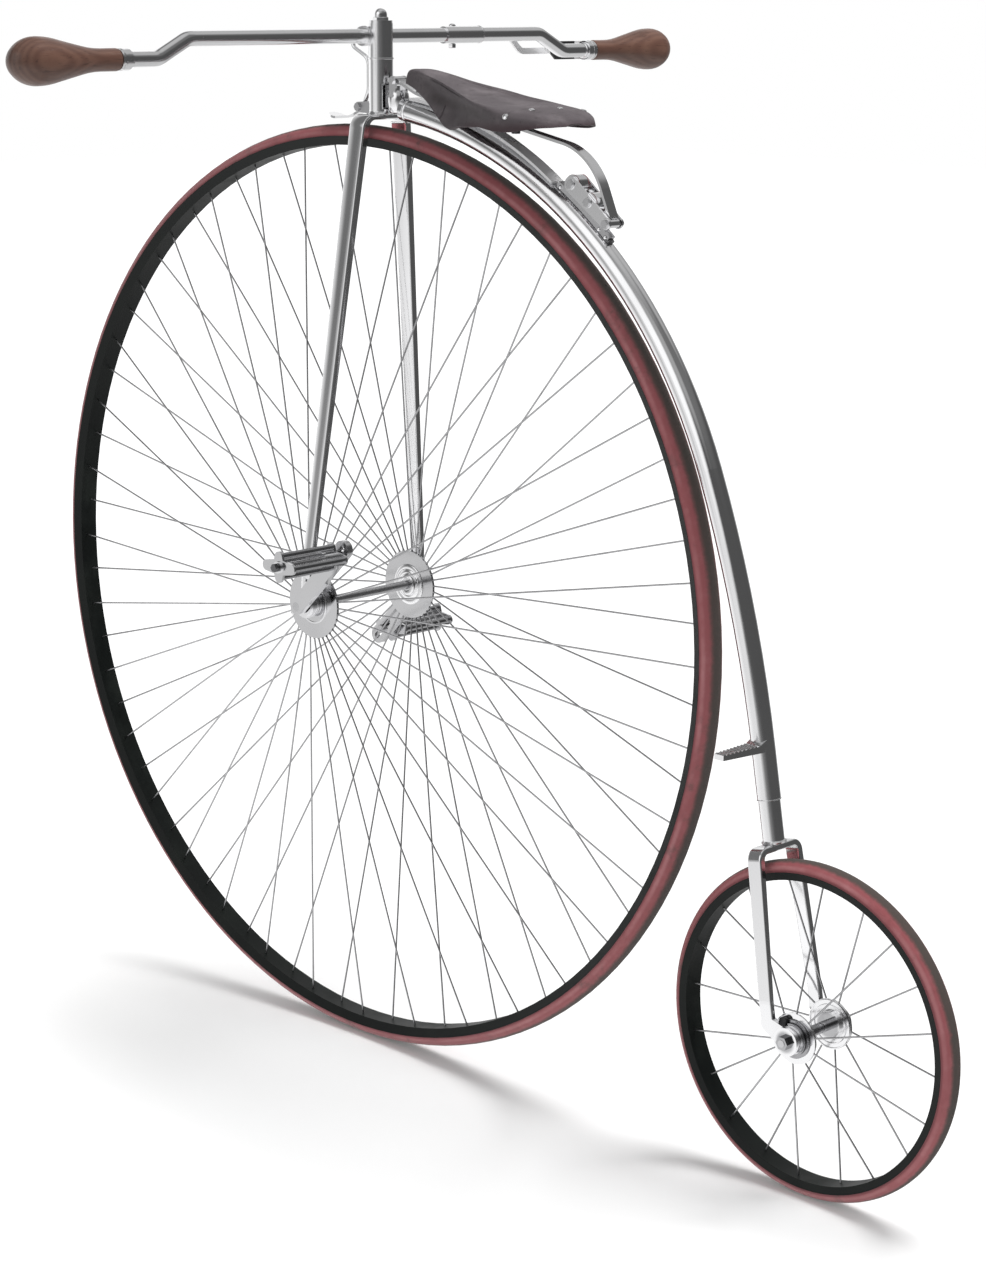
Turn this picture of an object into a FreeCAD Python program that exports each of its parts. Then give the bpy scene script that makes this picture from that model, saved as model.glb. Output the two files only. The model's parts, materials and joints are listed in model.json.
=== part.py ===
import FreeCAD, Part
import math
import os

# Penny farthing bicycle, in millimetres.
# It is modelled with X forward, Y to the rider's left, Z up, and z = 0 on the ground under the front hub.
# save() then moves every piece so that the origin is on the saddle's top, where the rider sits.

V = FreeCAD.Vector
X = V(1, 0, 0)
Y = V(0, 1, 0)
Z = V(0, 0, 1)
SIDES = (("left", 1), ("right", -1))

# ---- clearances
SEAT_GAP = 0.3          # between pieces that rest on each other with curved faces
SHAFT_CLEAR = 0.05      # radial clearance of a shaft in its hole
MOVING_CLEAR = 5.0      # between a moving piece and its neighbours
FIT_CLEAR = 0.05        # radial clearance of pieces fixed on a bar, bolt or axle

# ---- wheels
FRONT_RADIUS = 535.0
REAR_RADIUS = 180.0
REAR_TRAIL = 26.3       # rear axle behind the knee of its fork
KNEE_RISE = 12.0        # the knee's height above the rear axle
FRONT_TYRE = 32.0       # the solid rubber's round crest, as a diameter
REAR_TYRE = 27.0
FRONT_TYRE_OUT = 13.0   # how far the rubber stands out of its rim
REAR_TYRE_OUT = 11.3
FRONT_RIM_DEPTH = 10.0  # from the rim's lips to its inner face
REAR_RIM_DEPTH = 8.3
FRONT_RIM_TAPER = 4.0   # how much each side wall leans in
REAR_RIM_TAPER = 1.5
RIM_WALL = 2.4
SPOKE_DIA = 2.0
FRONT_SPOKES = 36       # on each flange
REAR_SPOKES = 10
FRONT_SPOKE_PHASE = {1: 0.0, -1: 5.0}
REAR_SPOKE_PHASE = {1: 21.6, -1: 3.6}
SPOKE_SPREAD = 3.0      # the two rows' distance from the rim's middle

# ---- front hub, cranks and pedals
AXLE_DIA = 10.0
FLANGE_MID = 75.6       # flange's middle from the wheel's plane
FLANGE_DIA = 80.0
FLANGE_THICK = 3.0
FLANGE_BOSS_DIA = 40.0
FLANGE_BOSS_THICK = 1.4
HOUSING_DIA = 26.0
CRANK_IN = 95.5         # crank's inner face from the wheel's plane
CRANK_THICK = 8.0
CRANK_ANGLE = 135.0     # left crank, from +X towards +Z
CRANK_THROW = 96.0      # axle to pedal pin
CRANK_REACH = 108.0     # axle to the middle of the crank's round end
CRANK_ROOT_RADIUS = 9.0
CRANK_END_RADIUS = 10.5
CRANK_SLOT_HALF = 14.0
CRANK_BOLT_DIA = 4.0
CRANK_BOLT_HEAD_DIA = 6.8
CRANK_BOLT_HEAD_TALL = 3.1
PIN_DIA = 7.0
PEDAL_GAP = 4.0         # crank to pedal barrel
PEDAL_LENGTH = 83.0
PEDAL_WALL = 3.0
PEDAL_LOBE_X = 20.0     # bar's distance from the pin, along the pedal
PEDAL_LOBE_Z = 11.5     # and across it
PEDAL_BAR_DIA = 7.2
PEDAL_LOBE_RADIUS = 6.0
PEDAL_HEART_RADIUS = 9.0    # the plates about the bearing
BEARING_LONG = 17.0
BEARING_SHORT = 10.0
BARREL_DIA = 13.0

# ---- rear hub
REAR_AXLE_DIA = 8.0
REAR_FLANGE_MID = 29.5
REAR_FLANGE_DIA = 54.0
REAR_FLANGE_THICK = 2.5
REAR_TUBE_DIA = 11.5
REAR_CUP_DIA = 30.0
REAR_CUP_THICK = 2.2
REAR_WASHER_DIA = 30.0
REAR_WASHER_THICK = 3.0
REAR_NUT_FLATS = 13.0
REAR_NUT_THICK = 6.0

# ---- front fork and head
HEAD_BACK = 34.0        # steering axis, behind the front hub
CROWN_GAP = 6.5         # tyre to crown
CROWN_THICK = 5.5
BLADE_THICK = 9.0
BLADE_WIDTH_TOP = 24.0
BLADE_WIDTH_FOOT = 15.0
BLADE_ROUND = 2.0       # rounding of its long edges
CROWN_HALF = 35.0       # outside of the crown's shoulders
CROWN_ROUND = 15.0
FOOT_IN = 83.5          # fork foot's inner face from the wheel's plane
FOOT_THICK = 7.0
FOOT_TALL = 40.0        # the foot stands upright from the axle to here
FOOT_RADIUS = 15.0
HEAD_DIA = 27.0
HEAD_TALL = 60.0
HEAD_BORE = 17.0
HEAD_END_WALL = 4.0
LUG_TALL = 38.0
CAP_DIA = 26.0
CAP_THICK = 3.0
ACORN_DIA = 14.5
ACORN_TALL = 11.5
STEER_LIMIT = 25.0
SLIT_WIDTH = 2.4
SLIT_TALL = 13.0

# ---- handlebar
BAR_AHEAD = 12.6        # bar's axis ahead of the steering axis
BAR_BELOW_TOP = 14.0    # below the lug's top
BAR_DIA = 16.0
BAR_COLLAR_DIA = 21.0
BAR_COLLAR_HALF = 17.0
BAR_STRAIGHT_HALF = 264.0
BAR_LOW_HALF = 304.0
BAR_DROP = 20.0
BAR_BEND = 24.0
BAR_HALF = 356.0        # the tube's end, inside the grip's ferrule
FERRULE_LONG = 13.0
FERRULE_DIA = 22.0
GRIP_LONG = 134.0
GRIP_NECK_DIA = 23.2
GRIP_NECK_LONG = 34.0   # from the ferrule to where the neck's and the swell's lines meet
GRIP_SWELL_LONG = 91.6  # from the ferrule to where the swell's line meets the belly's
GRIP_BELLY_DIA = 48.8
GRIP_TIP_SLANT = 16.4

# ---- neck and backbone
NECK_BACK = 28.0        # neck's barrel behind the steering axis
NECK_DIA = 21.0
NECK_WEB = 5.0
NECK_WEB_TALL = 26.0
NECK_BARREL_TALL = 9.0
NECK_TONGUE = 10.0
SPINDLE_DIA = 12.0
SPINDLE_PIN_DIA = 8.0
SPINDLE_PIN_LONG = 2.5
BACKBONE_DIA = 25.0
BACKBONE_GAP = 10.0     # tyre to backbone
BACKBONE_TAIL_DIA = 23.0
BACKBONE_FOLLOW = 158.2  # the backbone follows the wheel up to this angle from +X
BACKBONE_EASE = 1400.0  # radius of the easier bend below it
TAIL_RAKE = 10.0        # slope of the backbone's tail and rear fork from upright
TAIL_DOWN = V(-math.sin(math.radians(TAIL_RAKE)), 0, -math.cos(math.radians(TAIL_RAKE)))
TAIL_SOCKET = 47.0      # length of the thinner tail tube

# ---- rear fork and step
REAR_CROWN_HALF = 34.0
REAR_CROWN_ROUND = 13.0
REAR_CROWN_THICK = 7.0
REAR_BLADE_THICK = 8.0
REAR_BLADE_WIDTH = 18.0
REAR_BLADE_FOOT_WIDTH = 16.0
REAR_BLADE_ROUND = 2.0
REAR_FOOT_IN = 36.0
REAR_FOOT_THICK = 6.5
REAR_FOOT_TALL = 22.0
REAR_FOOT_RADIUS = 12.0
REAR_CROWN_GAP = 10.0   # rear tyre to crown
STEP_ABOVE_TAIL = 54.0  # above the thin tail tube's top
STEP_REACH = 70.0       # tip from the bicycle's middle
STEP_WELD_OUT = 4.0     # how far the weld at its root reaches along its top
STEP_WELD_UP = 8.0      # the weld's height at the bicycle's middle
STEP_ROOT_WIDTH = 20.0
STEP_TIP_WIDTH = 12.0
STEP_ROOT_THICK = 8.0
STEP_TIP_THICK = 5.5

# ---- saddle and its springs
SADDLE_LENGTH = 250.0
SADDLE_BEHIND_NECK = 15.0
SADDLE_OVER_EYE = 12.0  # leather's nose above the spring's front eye
LEATHER_THICK = 4.0
SKIRT_PAST = 12.0       # how far the hollow is cut on below the hem
SEAT_BEHIND_NOSE = 158.0    # where the rider sits
SEAT_DROP = 20.0        # how far the top lies below the nose there
SPRING_THICK = 3.0
SPRING_WIDTH = 16.0
SPRING_BEND = 76.0      # the main spring's curve down to the rollers
LEAF_THICK = 3.0
LEAF_WIDTH = 18.0
BOLT_BEHIND_NOSE = 164.0
CLAMP_HALF = 15.0       # half the strip's run along the spring
FRAME_WIDTH = 14.0
FRAME_THICK = 2.5
CANTLE_FROM = 35.0      # the plate under the leather's back, ahead of the leather's tail
CANTLE_TO = 8.0
CANTLE_HALF = 42.0
LINK_THICK = 2.5
LINK_BOLT_DIA = 5.0
LINK_LONG = 16.0
LINK_DROP = 2.0         # lower link bolt below the backbone's highest line
EYE_WALL = 2.2
RAIL_WIDTH = 9.0
RAIL_TALL = 6.5
ROLLER_DIA = 20.0
SHACKLE_BOLT_DIA = 5.0
SHACKLE_PLATE_THICK = 2.5
SHACKLE_INSIDE = 16.0   # between the two side plates
SHACKLE_PLATE_WIDTH = 17.0
SHACKLE_BEHIND = (332.8, 361.0, 392.1)   # two rollers and the spring's bolt, along the backbone from its top
RAIL_BEHIND = (314.3, 400.9)    # rail's ends, and the leaf's, measured in the same way
LEAF_BEHIND = (86.6, 309.4)
LEAF_RISE = 3.0         # the leaf's middle above the backbone

# ---- brake
LEVER_PIVOT_Y = -138.0
LEVER_AHEAD = BAR_DIA / 2 + 7.0    # lever's middle ahead of the bar's axis, at its pivot
LEVER_END_AHEAD = 32.4  # and at its inner end, over the brake rod
LEVER_END_Y = 5.0
LEVER_DROP_FROM = 229.0 # where the lever starts to bend down, from the bicycle's middle
LEVER_DROP_TO = 250.0
LEVER_THICK = 3.0
LEVER_TALL = 7.0
LEVER_BEND = 14.0
BLADE_TALL = 21.0
BLADE_FROM = 306.0      # finger blade, from the bicycle's middle
BLADE_TO = 358.0
BRAKE_SLEEVE_WALL = 1.5
BRAKE_SLEEVE_HALF = 29.0
BRAKE_BOLT_DIA = 6.0
BRAKE_ROD_DIA = 5.0
ROD_AHEAD = 6.0         # rod's axis ahead of the head's front
SPOON_WIDTH = 20.0
SPOON_ROOT_WIDTH = 11.0
SPOON_THICK = 2.5
SPOON_REACH = 51.5
SPOON_PIVOT_AHEAD = 28.5

# ---- derived places
FRONT_HUB = V(0, 0, FRONT_RADIUS)
HEAD_X = -HEAD_BACK
CROWN_BASE = 2 * FRONT_RADIUS + CROWN_GAP
CROWN_TOP = CROWN_BASE + CROWN_THICK
HEAD_TOP = CROWN_TOP + HEAD_TALL
LUG_TOP = HEAD_TOP + LUG_TALL
BAR_X = HEAD_X + BAR_AHEAD
BAR_Z = LUG_TOP - BAR_BELOW_TOP
BAR_LOW_Z = BAR_Z - BAR_DROP
BRAKE_SLEEVE_DIA = BAR_DIA + 2 * BRAKE_SLEEVE_WALL
BACKBONE_RADIUS = FRONT_RADIUS + BACKBONE_GAP + BACKBONE_DIA / 2
BACKBONE_TOP = BACKBONE_RADIUS + BACKBONE_DIA / 2
SHACKLE_ANGLES, RAIL_ANGLES, LEAF_ANGLES = (
    [90 + math.degrees(behind / BACKBONE_RADIUS) for behind in places]
    for places in (SHACKLE_BEHIND, RAIL_BEHIND, LEAF_BEHIND))
NECK_X = HEAD_X - NECK_BACK
NECK_BASE = CROWN_TOP + MOVING_CLEAR
LINK_Z = FRONT_RADIUS + BACKBONE_TOP - LINK_DROP
SPRING_EYE = V(NECK_X, 0, LINK_Z + LINK_LONG)
SADDLE_NOSE_X = NECK_X - SADDLE_BEHIND_NECK
SADDLE_NOSE_Z = SPRING_EYE.z + SADDLE_OVER_EYE
SADDLE_TAIL_X = SADDLE_NOSE_X - SADDLE_LENGTH
SADDLE_BOLT_X = SADDLE_NOSE_X - BOLT_BEHIND_NOSE
RAIL_BASE = BACKBONE_TOP + SEAT_GAP
RAIL_TOP = RAIL_BASE + RAIL_TALL
ROLLER_TRACK = RAIL_TOP + SEAT_GAP + ROLLER_DIA / 2
SADDLE_STATIONS = (
    # x, half width of the top, half width at the skirt's hem, then the heights of both above the nose
    (SADDLE_NOSE_X, 14.0, 16.0, 0.0, -9.0),
    (SADDLE_NOSE_X - 41.0, 18.0, 26.0, 1.0, -30.0),
    (SADDLE_NOSE_X - 98.0, 26.0, 44.0, -8.0, -58.0),
    (SADDLE_NOSE_X - 138.0, 38.0, 56.0, -16.0, -47.0),
    (SADDLE_TAIL_X + 37.0, 60.0, 70.0, -30.0, -46.0),
    (SADDLE_TAIL_X, 50.0, 58.0, -35.0, -47.0),
)
SEAT = V(SADDLE_NOSE_X - SEAT_BEHIND_NOSE, 0, SADDLE_NOSE_Z - SEAT_DROP)


# ---------------------------------------------------------------- helpers

def save(name, *shapes):
    """Write one node: its solids, moved so that the origin is on the saddle."""
    shape = shapes[0] if len(shapes) == 1 else Part.makeCompound(list(shapes))
    moved = shape.copy()
    moved.translate(SEAT * -1)
    moved.exportStep(os.path.join("parts", name + ".step"))


def cylinder(radius, start, end):
    """Round bar between two points."""
    run = end - start
    return Part.makeCylinder(radius, run.Length, start, run)


def cross_bar(radius, x, z, y_from, y_to):
    """Round bar along Y."""
    return cylinder(radius, V(x, min(y_from, y_to), z), V(x, max(y_from, y_to), z))


def box(x_from, x_to, y_from, y_to, z_from, z_to):
    """Block between its limits."""
    return Part.makeBox(x_to - x_from, y_to - y_from, z_to - z_from, V(x_from, y_from, z_from))


def prism(points, direction):
    """Flat outline pushed along a direction."""
    return Part.Face(Part.makePolygon(points + points[:1])).extrude(direction)


def on_wheel(angle, radius):
    """Point at an angle from +X and a radius about the front hub, in the bicycle's middle plane."""
    turn = math.radians(angle)
    return FRONT_HUB + V(radius * math.cos(turn), 0, radius * math.sin(turn))


def rounded_path(points, radii):
    """Wire through points, with its inner corners turned by tangent arcs of the given radii."""
    edges = []
    last = points[0]
    for before, corner, after, radius in zip(points, points[1:], points[2:], radii):
        into = (corner - before).normalize()
        out = (after - corner).normalize()
        turn = into.getAngle(out)
        reach = radius * math.tan(turn / 2)
        start = corner - into * reach
        end = corner + out * reach
        inward = (out - into).normalize()
        middle = corner + inward * (radius / math.cos(turn / 2) - radius)
        edges.append(Part.makeLine(last, start))
        edges.append(Part.Arc(start, middle, end).toShape())
        last = end
    edges.append(Part.makeLine(last, points[-1]))
    return Part.Wire(edges)


def sweep(path, profile):
    """Solid of a closed profile carried along a path."""
    return path.makePipeShell([profile], True, False)


def disc_wire(radius, centre, normal):
    """Circle as a wire."""
    return Part.Wire([Part.makeCircle(radius, centre, normal)])


def strip_wire(centre, across, out, width, thick):
    """Rectangle about a centre: its width lies along one direction and its thickness along another."""
    half_w = across * (width / 2)
    half_t = out * (thick / 2)
    corners = [centre - half_w - half_t, centre + half_w - half_t, centre + half_w + half_t,
               centre - half_w + half_t]
    return Part.makePolygon(corners + corners[:1])


def ring(outer, inner, y_from, y_to, centre):
    """Ring or bush about a Y axis."""
    body = cross_bar(outer, centre.x, centre.z, y_from, y_to)
    return body.cut(cross_bar(inner, centre.x, centre.z, y_from - 1, y_to + 1))


def hexagon(flats, y_from, y_to, centre):
    """Hexagonal nut body about a Y axis."""
    radius = flats / math.sqrt(3)
    points = []
    for step in range(6):
        turn = math.radians(60 * step)
        points.append(V(centre.x + radius * math.cos(turn), y_from, centre.z + radius * math.sin(turn)))
    return prism(points, V(0, y_to - y_from, 0))


def link_plate(first, second, radius_a, radius_b, y_from, y_to):
    """Flat link with two round ends, its long sides tangent to both."""
    run = second - first
    length = run.Length
    along = V(run.x, 0, run.z).normalize()
    side = V(-along.z, 0, along.x)
    lean = (radius_a - radius_b) / length
    spread = math.sqrt(1 - lean * lean)
    corners = []
    for centre, radius, sign in ((first, radius_a, 1), (second, radius_b, 1),
                                 (second, radius_b, -1), (first, radius_a, -1)):
        corner = centre + along * (radius * lean) + side * (sign * radius * spread)
        corners.append(V(corner.x, y_from, corner.z))
    plate = prism(corners, V(0, y_to - y_from, 0))
    plate = plate.fuse(cross_bar(radius_a, first.x, first.z, y_from, y_to))
    return plate.fuse(cross_bar(radius_b, second.x, second.z, y_from, y_to)).removeSplitter()


# ---------------------------------------------------------------- wheels

def wheel_section(radius, thick, out, depth, taper):
    """Half widths and radii that a tyre and its rim share.

    The rubber's crest is an arc; below the rim's lips its foot narrows with the rim's walls.
    """
    crest = thick / 2
    lip = radius - out
    side = math.sqrt(crest * crest - (crest - out) ** 2)
    inner = lip - depth
    bottom = inner + RIM_WALL
    foot = side - RIM_WALL
    foot_in = foot - taper * (lip - bottom) / depth
    return lip, side, inner, bottom, foot, foot_in


def turned(outline, hub):
    """Ring of a flat outline turned about a wheel's axle."""
    body = Part.Face(Part.Wire(outline)).revolve(V(0, 0, 0), Y, 360)
    body.translate(hub)
    return body


def tyre(hub, radius, *section):
    """Solid rubber ring with a round crest and a foot that fills the rim's channel."""
    lip, side, _, bottom, foot, foot_in = wheel_section(radius, *section)
    crest = Part.Arc(V(0, side, lip), V(0, 0, radius), V(0, -side, lip)).toShape()
    corners = [V(0, -side, lip), V(0, -foot, lip), V(0, -foot_in, bottom), V(0, foot_in, bottom),
               V(0, foot, lip), V(0, side, lip)]
    return turned([crest] + Part.makePolygon(corners).Edges, hub)


def rim(hub, radius, *section):
    """Channel rim with leaning walls, open outwards for the tyre's foot."""
    lip, side, inner, bottom, foot, foot_in = wheel_section(radius, *section)
    taper = section[-1]
    top = lip - SEAT_GAP
    corners = [V(0, side, top), V(0, side - taper, inner), V(0, taper - side, inner), V(0, -side, top),
               V(0, -foot - SEAT_GAP, top), V(0, -foot_in - SEAT_GAP, bottom - SEAT_GAP),
               V(0, foot_in + SEAT_GAP, bottom - SEAT_GAP), V(0, foot + SEAT_GAP, top)]
    return turned(Part.makePolygon(corners + corners[:1]).Edges, hub)


def spokes(hub, count, phases, flange_mid, flange_radius, rim_inner):
    """Straight wires from each flange's edge to the rim, in two rows."""
    wires = []
    for side, phase in phases.items():
        for number in range(count):
            turn = math.radians(phase + number * 360 / count)
            out = V(math.cos(turn), 0, math.sin(turn))
            start = hub + out * (flange_radius + SEAT_GAP) + Y * (side * flange_mid)
            end = hub + out * (rim_inner - SEAT_GAP) + Y * (side * SPOKE_SPREAD)
            wires.append(cylinder(SPOKE_DIA / 2, start, end))
    return wires


def front_wheel():
    section = (FRONT_TYRE, FRONT_TYRE_OUT, FRONT_RIM_DEPTH, FRONT_RIM_TAPER)
    save("front_tyre", tyre(FRONT_HUB, FRONT_RADIUS, *section))
    save("front_rim", rim(FRONT_HUB, FRONT_RADIUS, *section))
    inner = FRONT_RADIUS - FRONT_TYRE_OUT - FRONT_RIM_DEPTH
    save("front_spokes", *spokes(FRONT_HUB, FRONT_SPOKES, FRONT_SPOKE_PHASE, FLANGE_MID,
                                 FLANGE_DIA / 2, inner))
    crank_out = CRANK_IN + CRANK_THICK
    save("front_axle", cross_bar(AXLE_DIA / 2, FRONT_HUB.x, FRONT_HUB.z, -crank_out, crank_out))
    save("front_flanges", hub_flange(1), hub_flange(-1))


def hub_flange(side):
    """Thin disc with a round boss on each face, carried by the axle."""
    faces = ((FLANGE_DIA / 2, FLANGE_THICK / 2), (FLANGE_BOSS_DIA / 2, FLANGE_THICK / 2 + FLANGE_BOSS_THICK))
    parts = []
    for radius, half in faces:
        middle = side * FLANGE_MID
        parts.append(ring(radius, AXLE_DIA / 2 + FIT_CLEAR, middle - half, middle + half, FRONT_HUB))
    return parts[0].fuse(parts[1])


def rear_wheel():
    section = (REAR_TYRE, REAR_TYRE_OUT, REAR_RIM_DEPTH, REAR_RIM_TAPER)
    save("rear_tyre", tyre(REAR_HUB, REAR_RADIUS, *section))
    save("rear_rim", rim(REAR_HUB, REAR_RADIUS, *section))
    inner = REAR_RADIUS - REAR_TYRE_OUT - REAR_RIM_DEPTH
    save("rear_spokes", *spokes(REAR_HUB, REAR_SPOKES, REAR_SPOKE_PHASE, REAR_FLANGE_MID,
                                REAR_FLANGE_DIA / 2, inner))
    save("rear_hub", rear_hub())


def rear_hub():
    """Tube, two flanges and their outer cups, bored for the fixed axle."""
    outer = REAR_FLANGE_MID + REAR_FLANGE_THICK / 2
    hub = cross_bar(REAR_TUBE_DIA / 2, REAR_HUB.x, REAR_HUB.z, -outer, outer)
    for _, side in SIDES:
        middle = side * REAR_FLANGE_MID
        half = REAR_FLANGE_THICK / 2
        hub = hub.fuse(cross_bar(REAR_FLANGE_DIA / 2, REAR_HUB.x, REAR_HUB.z, middle - half, middle + half))
        hub = hub.fuse(cross_bar(REAR_CUP_DIA / 2, REAR_HUB.x, REAR_HUB.z,
                                 side * (outer - 6), side * (REAR_FOOT_IN - SEAT_GAP)))
    bore = cross_bar(REAR_AXLE_DIA / 2 + SHAFT_CLEAR, REAR_HUB.x, REAR_HUB.z, -60, 60)
    return hub.cut(bore)


# ---------------------------------------------------------------- cranks and pedals

def crank_point(side, distance):
    """Point on a crank's middle line; the two cranks stand opposite each other."""
    turn = math.radians(CRANK_ANGLE if side > 0 else CRANK_ANGLE + 180)
    return FRONT_HUB + V(distance * math.cos(turn), 0, distance * math.sin(turn))


def cranks():
    save("cranks", crank(1), crank(-1))
    save("crank_bolts", crank_bolt(1), crank_bolt(-1))
    save("pedal_pins", pedal_pin(1), pedal_pin(-1))


def crank(side):
    """Flat bar on the axle, with a slot in its round end for the pedal pin."""
    low, high = sorted((side * CRANK_IN, side * (CRANK_IN + CRANK_THICK)))
    end = crank_point(side, CRANK_REACH)
    body = link_plate(FRONT_HUB, end, CRANK_ROOT_RADIUS, CRANK_END_RADIUS, low, high)
    body = body.cut(cross_bar(AXLE_DIA / 2 + FIT_CLEAR, FRONT_HUB.x, FRONT_HUB.z, low - 1, high + 1))
    slot_ends = [crank_point(side, CRANK_THROW + reach) for reach in (-CRANK_SLOT_HALF, CRANK_SLOT_HALF)]
    slot_half = PIN_DIA / 2 + FIT_CLEAR
    body = body.cut(link_plate(*slot_ends, slot_half, slot_half, low - 1, high + 1))
    middle = Y * (low + CRANK_THICK / 2)
    bolt_hole = cylinder(CRANK_BOLT_DIA / 2 + FIT_CLEAR, crank_point(side, -30) + middle, FRONT_HUB + middle)
    return body.cut(bolt_hole)


def crank_bolt(side):
    """Bolt through the crank's root that grips the axle."""
    middle = Y * (side * (CRANK_IN + CRANK_THICK / 2))
    seat = -CRANK_ROOT_RADIUS - SEAT_GAP
    shank = cylinder(CRANK_BOLT_DIA / 2, crank_point(side, -AXLE_DIA / 2 - SEAT_GAP) + middle,
                     crank_point(side, seat) + middle)
    head = cylinder(CRANK_BOLT_HEAD_DIA / 2, crank_point(side, seat) + middle,
                    crank_point(side, seat - CRANK_BOLT_HEAD_TALL) + middle)
    return shank.fuse(head)


def pedal_pin(side):
    """Pin through the crank's slot, with a nut inside, a collar outside and an end nut."""
    centre = crank_point(side, CRANK_THROW)
    crank_out = CRANK_IN + CRANK_THICK
    barrel_in = crank_out + PEDAL_GAP
    barrel_out = barrel_in + PEDAL_LENGTH
    nut_in = CRANK_IN - 4.0
    spans = ((PIN_DIA / 2, nut_in, barrel_out + 4.5),
             (CRANK_END_RADIUS - 3.5, crank_out, barrel_in - SEAT_GAP),
             (BARREL_DIA / 2 - 2.0, barrel_out + SEAT_GAP, barrel_out + 1.5))
    pin = hexagon(9.0, *sorted((side * nut_in, side * CRANK_IN)), centre)
    pin = pin.fuse(hexagon(8.0, *sorted((side * (barrel_out + 1.5), side * (barrel_out + 5.5))), centre))
    for radius, start, end in spans:
        pin = pin.fuse(cross_bar(radius, centre.x, centre.z, side * start, side * end))
    return pin


def pedals():
    for name, side in SIDES:
        centre = crank_point(side, CRANK_THROW)
        inner = CRANK_IN + CRANK_THICK + PEDAL_GAP
        outer = inner + PEDAL_LENGTH
        plates = []
        for plate_in in (inner + 2.0, outer - 2.0 - PEDAL_WALL):
            low, high = sorted((side * plate_in, side * (plate_in + PEDAL_WALL)))
            plates.append(pedal_plate(centre, low, high))
        save(name + "_pedal_plates", *plates)
        bar_in = inner + 2.0 + PEDAL_WALL
        bar_out = outer - 2.0 - PEDAL_WALL
        bars = []
        for dx, dz in lobes():
            bar = cross_bar(PEDAL_BAR_DIA / 2, centre.x + dx, centre.z + dz, side * bar_in, side * bar_out)
            bars.append(bar)
        save(name + "_pedal_bars", *bars)
        low, high = sorted((side * inner, side * outer))
        save(name + "_pedal_barrel", *pedal_bearings(centre, low, high, side))


def pedal_bearings(centre, low, high, side):
    """A long bearing in the plate by the crank and a short one in the outer plate."""
    long_one, short_one = ((low, low + BEARING_LONG), (high - BEARING_SHORT, high))
    if side < 0:
        long_one, short_one = (high - BEARING_LONG, high), (low, low + BEARING_SHORT)
    bore = PIN_DIA / 2 + SHAFT_CLEAR
    return [ring(BARREL_DIA / 2, bore, *ends, centre) for ends in (long_one, short_one)]


def lobes():
    """The four bars' places about the pedal pin."""
    return ((PEDAL_LOBE_X, 0), (0, PEDAL_LOBE_Z), (-PEDAL_LOBE_X, 0), (0, -PEDAL_LOBE_Z))


def pedal_plate(centre, y_from, y_to):
    """Four-lobed end plate, bored for the barrel."""
    arms = [link_plate(centre, centre + V(x, 0, z), PEDAL_HEART_RADIUS, PEDAL_LOBE_RADIUS, y_from, y_to)
            for x, z in lobes()]
    plate = arms[0].fuse(arms[1:])
    return plate.cut(cross_bar(BARREL_DIA / 2, centre.x, centre.z, y_from - 1, y_to + 1)).removeSplitter()


# ---------------------------------------------------------------- forks

def fork_outline(half, crown_thick, blade_thick, round_radius, foot_in, foot_thick, foot_z, knee_z, top_z):
    """Upside-down U in the YZ plane: crown, splayed blades and upright feet."""
    inside = half - blade_thick
    under = top_z - crown_thick
    foot_out = foot_in + foot_thick
    outer = [V(0, -foot_out, foot_z), V(0, -foot_out, knee_z), V(0, -half, top_z), V(0, half, top_z),
             V(0, foot_out, knee_z), V(0, foot_out, foot_z)]
    inner = [V(0, -foot_in, foot_z), V(0, -foot_in, knee_z), V(0, -inside, under), V(0, inside, under),
             V(0, foot_in, knee_z), V(0, foot_in, foot_z)]
    inner_round = max(round_radius - crown_thick, 3.0)
    outer_path = rounded_path(outer, (60.0, round_radius, round_radius, 60.0))
    inner_path = rounded_path(inner, (60.0, inner_round, inner_round, 60.0))
    ends = [Part.makeLine(outer[0], inner[0]), Part.makeLine(outer[-1], inner[-1])]
    return Part.Face(Part.Wire(Part.__sortEdges__(outer_path.Edges + inner_path.Edges + ends)))


def soften(fork, foot_z, radius):
    """Round the long edges of a bent fork; the cut edges under its feet stay sharp."""
    long_edges = [edge for edge in fork.Edges
                  if edge.BoundBox.ZMax > foot_z + 1 and edge.BoundBox.XLength + edge.BoundBox.ZLength > 1]
    across = [edge for edge in long_edges if edge.BoundBox.XLength > 0.8 * edge.Length]
    return fork.makeFillet(radius, [edge for edge in long_edges if edge not in across])


def front_fork():
    """Crown and two blades, bent from one flat bar, with an eye at each foot."""
    foot_z = FRONT_HUB.z
    face = fork_outline(CROWN_HALF, CROWN_THICK, BLADE_THICK, CROWN_ROUND, FOOT_IN, FOOT_THICK,
                        foot_z, foot_z + FOOT_TALL, CROWN_TOP)
    face.translate(X * -100)
    bent = face.extrude(X * 200)
    top = BLADE_WIDTH_TOP / 2
    foot = BLADE_WIDTH_FOOT / 2
    side_view = [V(HEAD_X - top, -200, CROWN_TOP + 1), V(HEAD_X + top, -200, CROWN_TOP + 1),
                 V(foot, -200, foot_z), V(-foot, -200, foot_z)]
    fork = soften(bent.common(prism(side_view, Y * 400)), foot_z, BLADE_ROUND)
    for _, side in SIDES:
        low, high = sorted((side * FOOT_IN, side * (FOOT_IN + FOOT_THICK)))
        fork = fork.fuse(cross_bar(FOOT_RADIUS, FRONT_HUB.x, foot_z, low, high))
    bores = cross_bar(HOUSING_DIA / 2 + FIT_CLEAR, FRONT_HUB.x, foot_z, -200, 200)
    return fork.cut(bores).removeSplitter()


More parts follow.
